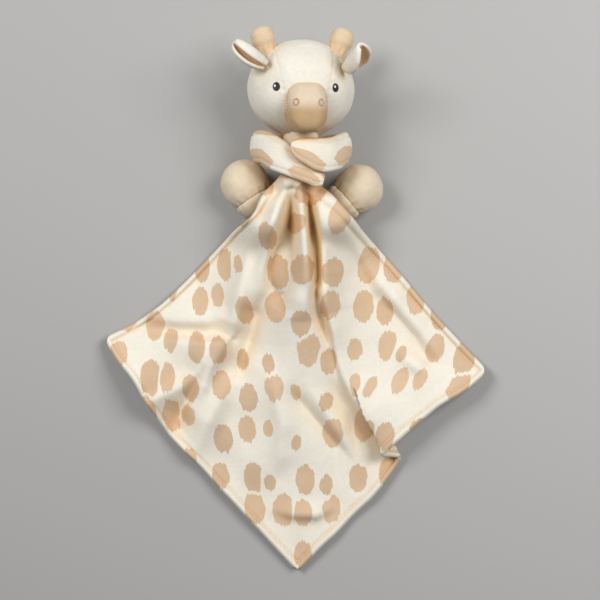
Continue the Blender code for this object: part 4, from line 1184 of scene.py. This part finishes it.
def make_arm(label, shoulder, heading):
    """A sleeve and a hoof, sewn together with a puckered seam."""
    turn = np.array(Matrix.Rotation(heading, 3, "Z"))
    sides = 72
    end = HOOF_SEAM - HOOF_SEAM_HALF_GAP
    sleeve = end * (1 - np.cos(np.linspace(0.06, math.pi / 2 + 0.5, 60))) / 1.48
    sleeve = np.concatenate([sleeve[sleeve < end - 0.002], [end - 0.0015, end]])
    start = HOOF_SEAM + HOOF_SEAM_HALF_GAP
    hoof = start + (1 - start) * np.sin(np.linspace(0, math.pi / 2 - 0.04, 70))
    for part, shares, finish, slot in (
        # The sleeve's finish is its cream plush in a painted shade tone
        ("arm_sleeve", sleeve, SHADED_SLEEVE_PLUSH, "cream_plush"),
        ("hoof", hoof, HOOF_PLUSH, "hoof_plush"),
    ):
        radius = curve_through(ARM_SHARES, shares)[:, 0] * HOOF_RADIUS
        to_seam = np.abs(shares - HOOF_SEAM) * ARM_LENGTH
        radius = radius - 0.0011 * bell(to_seam, 0.0012)
        centres = np.stack([shares * ARM_LENGTH - ARM_ROOT_RADIUS, 0 * shares, 0 * shares], axis=1)
        rings = ellipse_rings(centres, (0, 1, 0), (0, 0, 1), radius, radius * ARM_FLATTEN, sides)
        angles = np.tile(TURN * np.arange(sides) / sides, (len(shares), 1))
        pucker = bell(to_seam, 0.0055)[:, None]
        ripple = pucker * (0.00055 * np.cos(13 * angles + 0.6) + 0.0003 * np.cos(23 * angles))
        out = rings - centres[:, None, :]
        out /= np.linalg.norm(out, axis=2, keepdims=True)
        rings = rings + out * ripple[..., None]
        start = (-ARM_ROOT_RADIUS, 0, 0) if part == "arm_sleeve" else centres[0]
        end = centres[-1] if part == "arm_sleeve" else (ARM_LENGTH - ARM_ROOT_RADIUS, 0, 0)
        points, faces = tube(rings, start, end)
        size = np.linalg.norm(points, axis=1, keepdims=True) + 1e-9
        shaken = lumps(points, 45, 0.0006, 7.0 + heading) - 0.0008
        shaken += lumps(points * np.array([1, 1.6, 1]), 130, 0.0004, 2.0)
        points = points + points / size * shaken[:, None]
        points = points @ turn.T + np.array(shoulder)
        points[:, 2] = np.maximum(points[:, 2], 0)
        piece = piece_from(f"{label}_{part}_plush", points, faces, finish)
        dress(piece, f"{label}_arm", slot, f"{label}_{part}")


# Neck wrap

WRAP_SHARES = ((0.0, 0.48, 0.50), (0.074, 0.64, 0.56), (0.149, 0.90, 0.62), (0.223, 0.95, 0.80),
               (0.298, 0.95, 1.0), (0.521, 0.82, 0.62), (0.744, 0.93, 1.0), (0.806, 0.92, 0.80),
               (0.844, 0.94, 0.66), (0.893, 0.96, 0.58), (0.943, 0.80, 0.56), (0.968, 0.68, 0.54),
               (1.0, 0.42, 0.50))
WRAP_DROPS = ((0.0, 0.0330), (0.074, 0.0215), (0.149, 0.0085), (0.223, -0.0010), (0.298, -0.0020),
              (0.521, -0.0010), (0.744, -0.0010), (0.806, 0.0020), (0.844, 0.0060),
              (0.893, 0.0085), (0.943, 0.0050), (0.968, 0.0030), (1.0, 0.0))
WRAP_START, WRAP_END = math.radians(60), math.radians(463)
WRAP_HALF_WIDTH, WRAP_HALF_THICKNESS = 0.0170, 0.0075
WRAP_STITCH_INSET = 0.0042


def wrap_middle(share):
    angle = WRAP_START + (WRAP_END - WRAP_START) * share
    rise = np.where(np.sin(angle) > 0, 0.0250, 0.0219)
    rise = rise + 0.0092 * smooth_step(0.76, 0.875, share)
    drop = curve_through(WRAP_DROPS, share)[:, 0]
    return np.stack([
        HEAD_CENTRE.x + WRAP_RADIUS * np.cos(angle), WRAP_Y - drop,
        HEAD_CENTRE.z + rise * np.sin(angle),
    ], axis=1)


def make_wrap():
    """A hemmed strip of the printed cloth wound once round the neck, its ends crossed in front."""
    stations, sides = ((260, 56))
    share = np.linspace(0, 1, stations)
    centres = wrap_middle(share)
    along = wrap_middle(share + 0.004) - wrap_middle(share - 0.004)
    along /= np.linalg.norm(along, axis=1, keepdims=True)
    out = np.stack([
        centres[:, 0] - HEAD_CENTRE.x, 0 * share, (centres[:, 2] - HEAD_CENTRE.z) * 2.4], axis=1)
    out -= along * np.sum(out * along, axis=1, keepdims=True)
    out /= np.linalg.norm(out, axis=1, keepdims=True)
    across = np.cross(out, along)
    wide, thick = curve_through(WRAP_SHARES, share).T
    to_end = np.minimum(share, 1 - share) * (WRAP_END - WRAP_START) * WRAP_RADIUS / 0.0080
    close = np.sqrt(np.maximum(1 - (1 - np.minimum(to_end + 0.16, 1)) ** 2, 0))
    wide = 0.98 * WRAP_HALF_WIDTH * wide * close
    thick = WRAP_HALF_THICKNESS * thick * np.sqrt(close)
    angles = TURN * np.arange(sides) / sides
    flat = np.sign(np.cos(angles)) * np.abs(np.cos(angles)) ** 0.95
    puff = np.sign(np.sin(angles)) * np.abs(np.sin(angles)) ** 0.95
    to_edge = (1 - np.abs(flat))[None, :] * wide[:, None]
    groove = 1 - 0.22 * bell(to_edge - WRAP_STITCH_INSET, 0.0011)
    rings = (centres[:, None, :] + across[:, None, :] * (flat[None, :] * wide[:, None])[..., None]
             + out[:, None, :] * (puff[None, :] * thick[:, None] * groove)[..., None])
    points, faces = tube(rings, centres[0], centres[-1])
    steps = np.linalg.norm(np.diff(centres, axis=0), axis=1)
    run = np.concatenate([[0], np.cumsum(steps)])
    over = np.where(puff >= 0, flat, 2 * np.sign(flat) - flat)
    cloth_map = np.stack([
        np.broadcast_to(over[None, :] * 0.5 * 2 * WRAP_HALF_WIDTH, (stations, sides)) + 0.06,
        np.broadcast_to(run[:, None], (stations, sides)) + 0.03,
    ], axis=-1).reshape(-1, 2)
    cloth_map = np.concatenate([cloth_map, cloth_map[:1], cloth_map[-1:]])
    points = points + lumps(points, 40, 0.0007, 4.0)[:, None] * np.array([0.3, 0.3, 0.6])
    wrap = piece_from("neck_wrap_cloth", points, faces, VELOUR, cloth_map)
    dress(wrap, "root", "printed_velour", "neck_wrap")
    for label, pick in (("upper", 1), ("lower", -1)):
        edge = pick * (wide - WRAP_STITCH_INSET)
        side = np.clip(np.abs(edge) / np.maximum(wide, 1e-6), 0, 1) ** (1 / 0.95)
        height = thick * np.sqrt(np.maximum(1 - side**2, 0)) ** 0.95 * 0.80
        line = centres + across * edge[:, None] + out * height[:, None]
        keep = (share > 0.03) & (share < 0.97)
        row = stitch_row(f"neck_wrap_{label}_stitches", line[keep], out[keep], SEWING_THREAD)
        dress(row, "root", "printed_velour")


make_blanket()
head = make_head()
muzzle = make_muzzle()
make_eyes(head)
make_nostrils(muzzle)
make_horns()
make_ears()
make_body()
make_arm("left", *LEFT_SHOULDER)
make_arm("right", *RIGHT_SHOULDER)
make_wrap()
for part in ("head", "body", "left_horn", "right_horn", "left_arm", "right_arm"):
    filling = bpy.data.objects[f"{part}_filling"].data
    filling.materials.clear()
    filling.materials.append(FIBRE)
look_down()
light_room()
lay_floor()
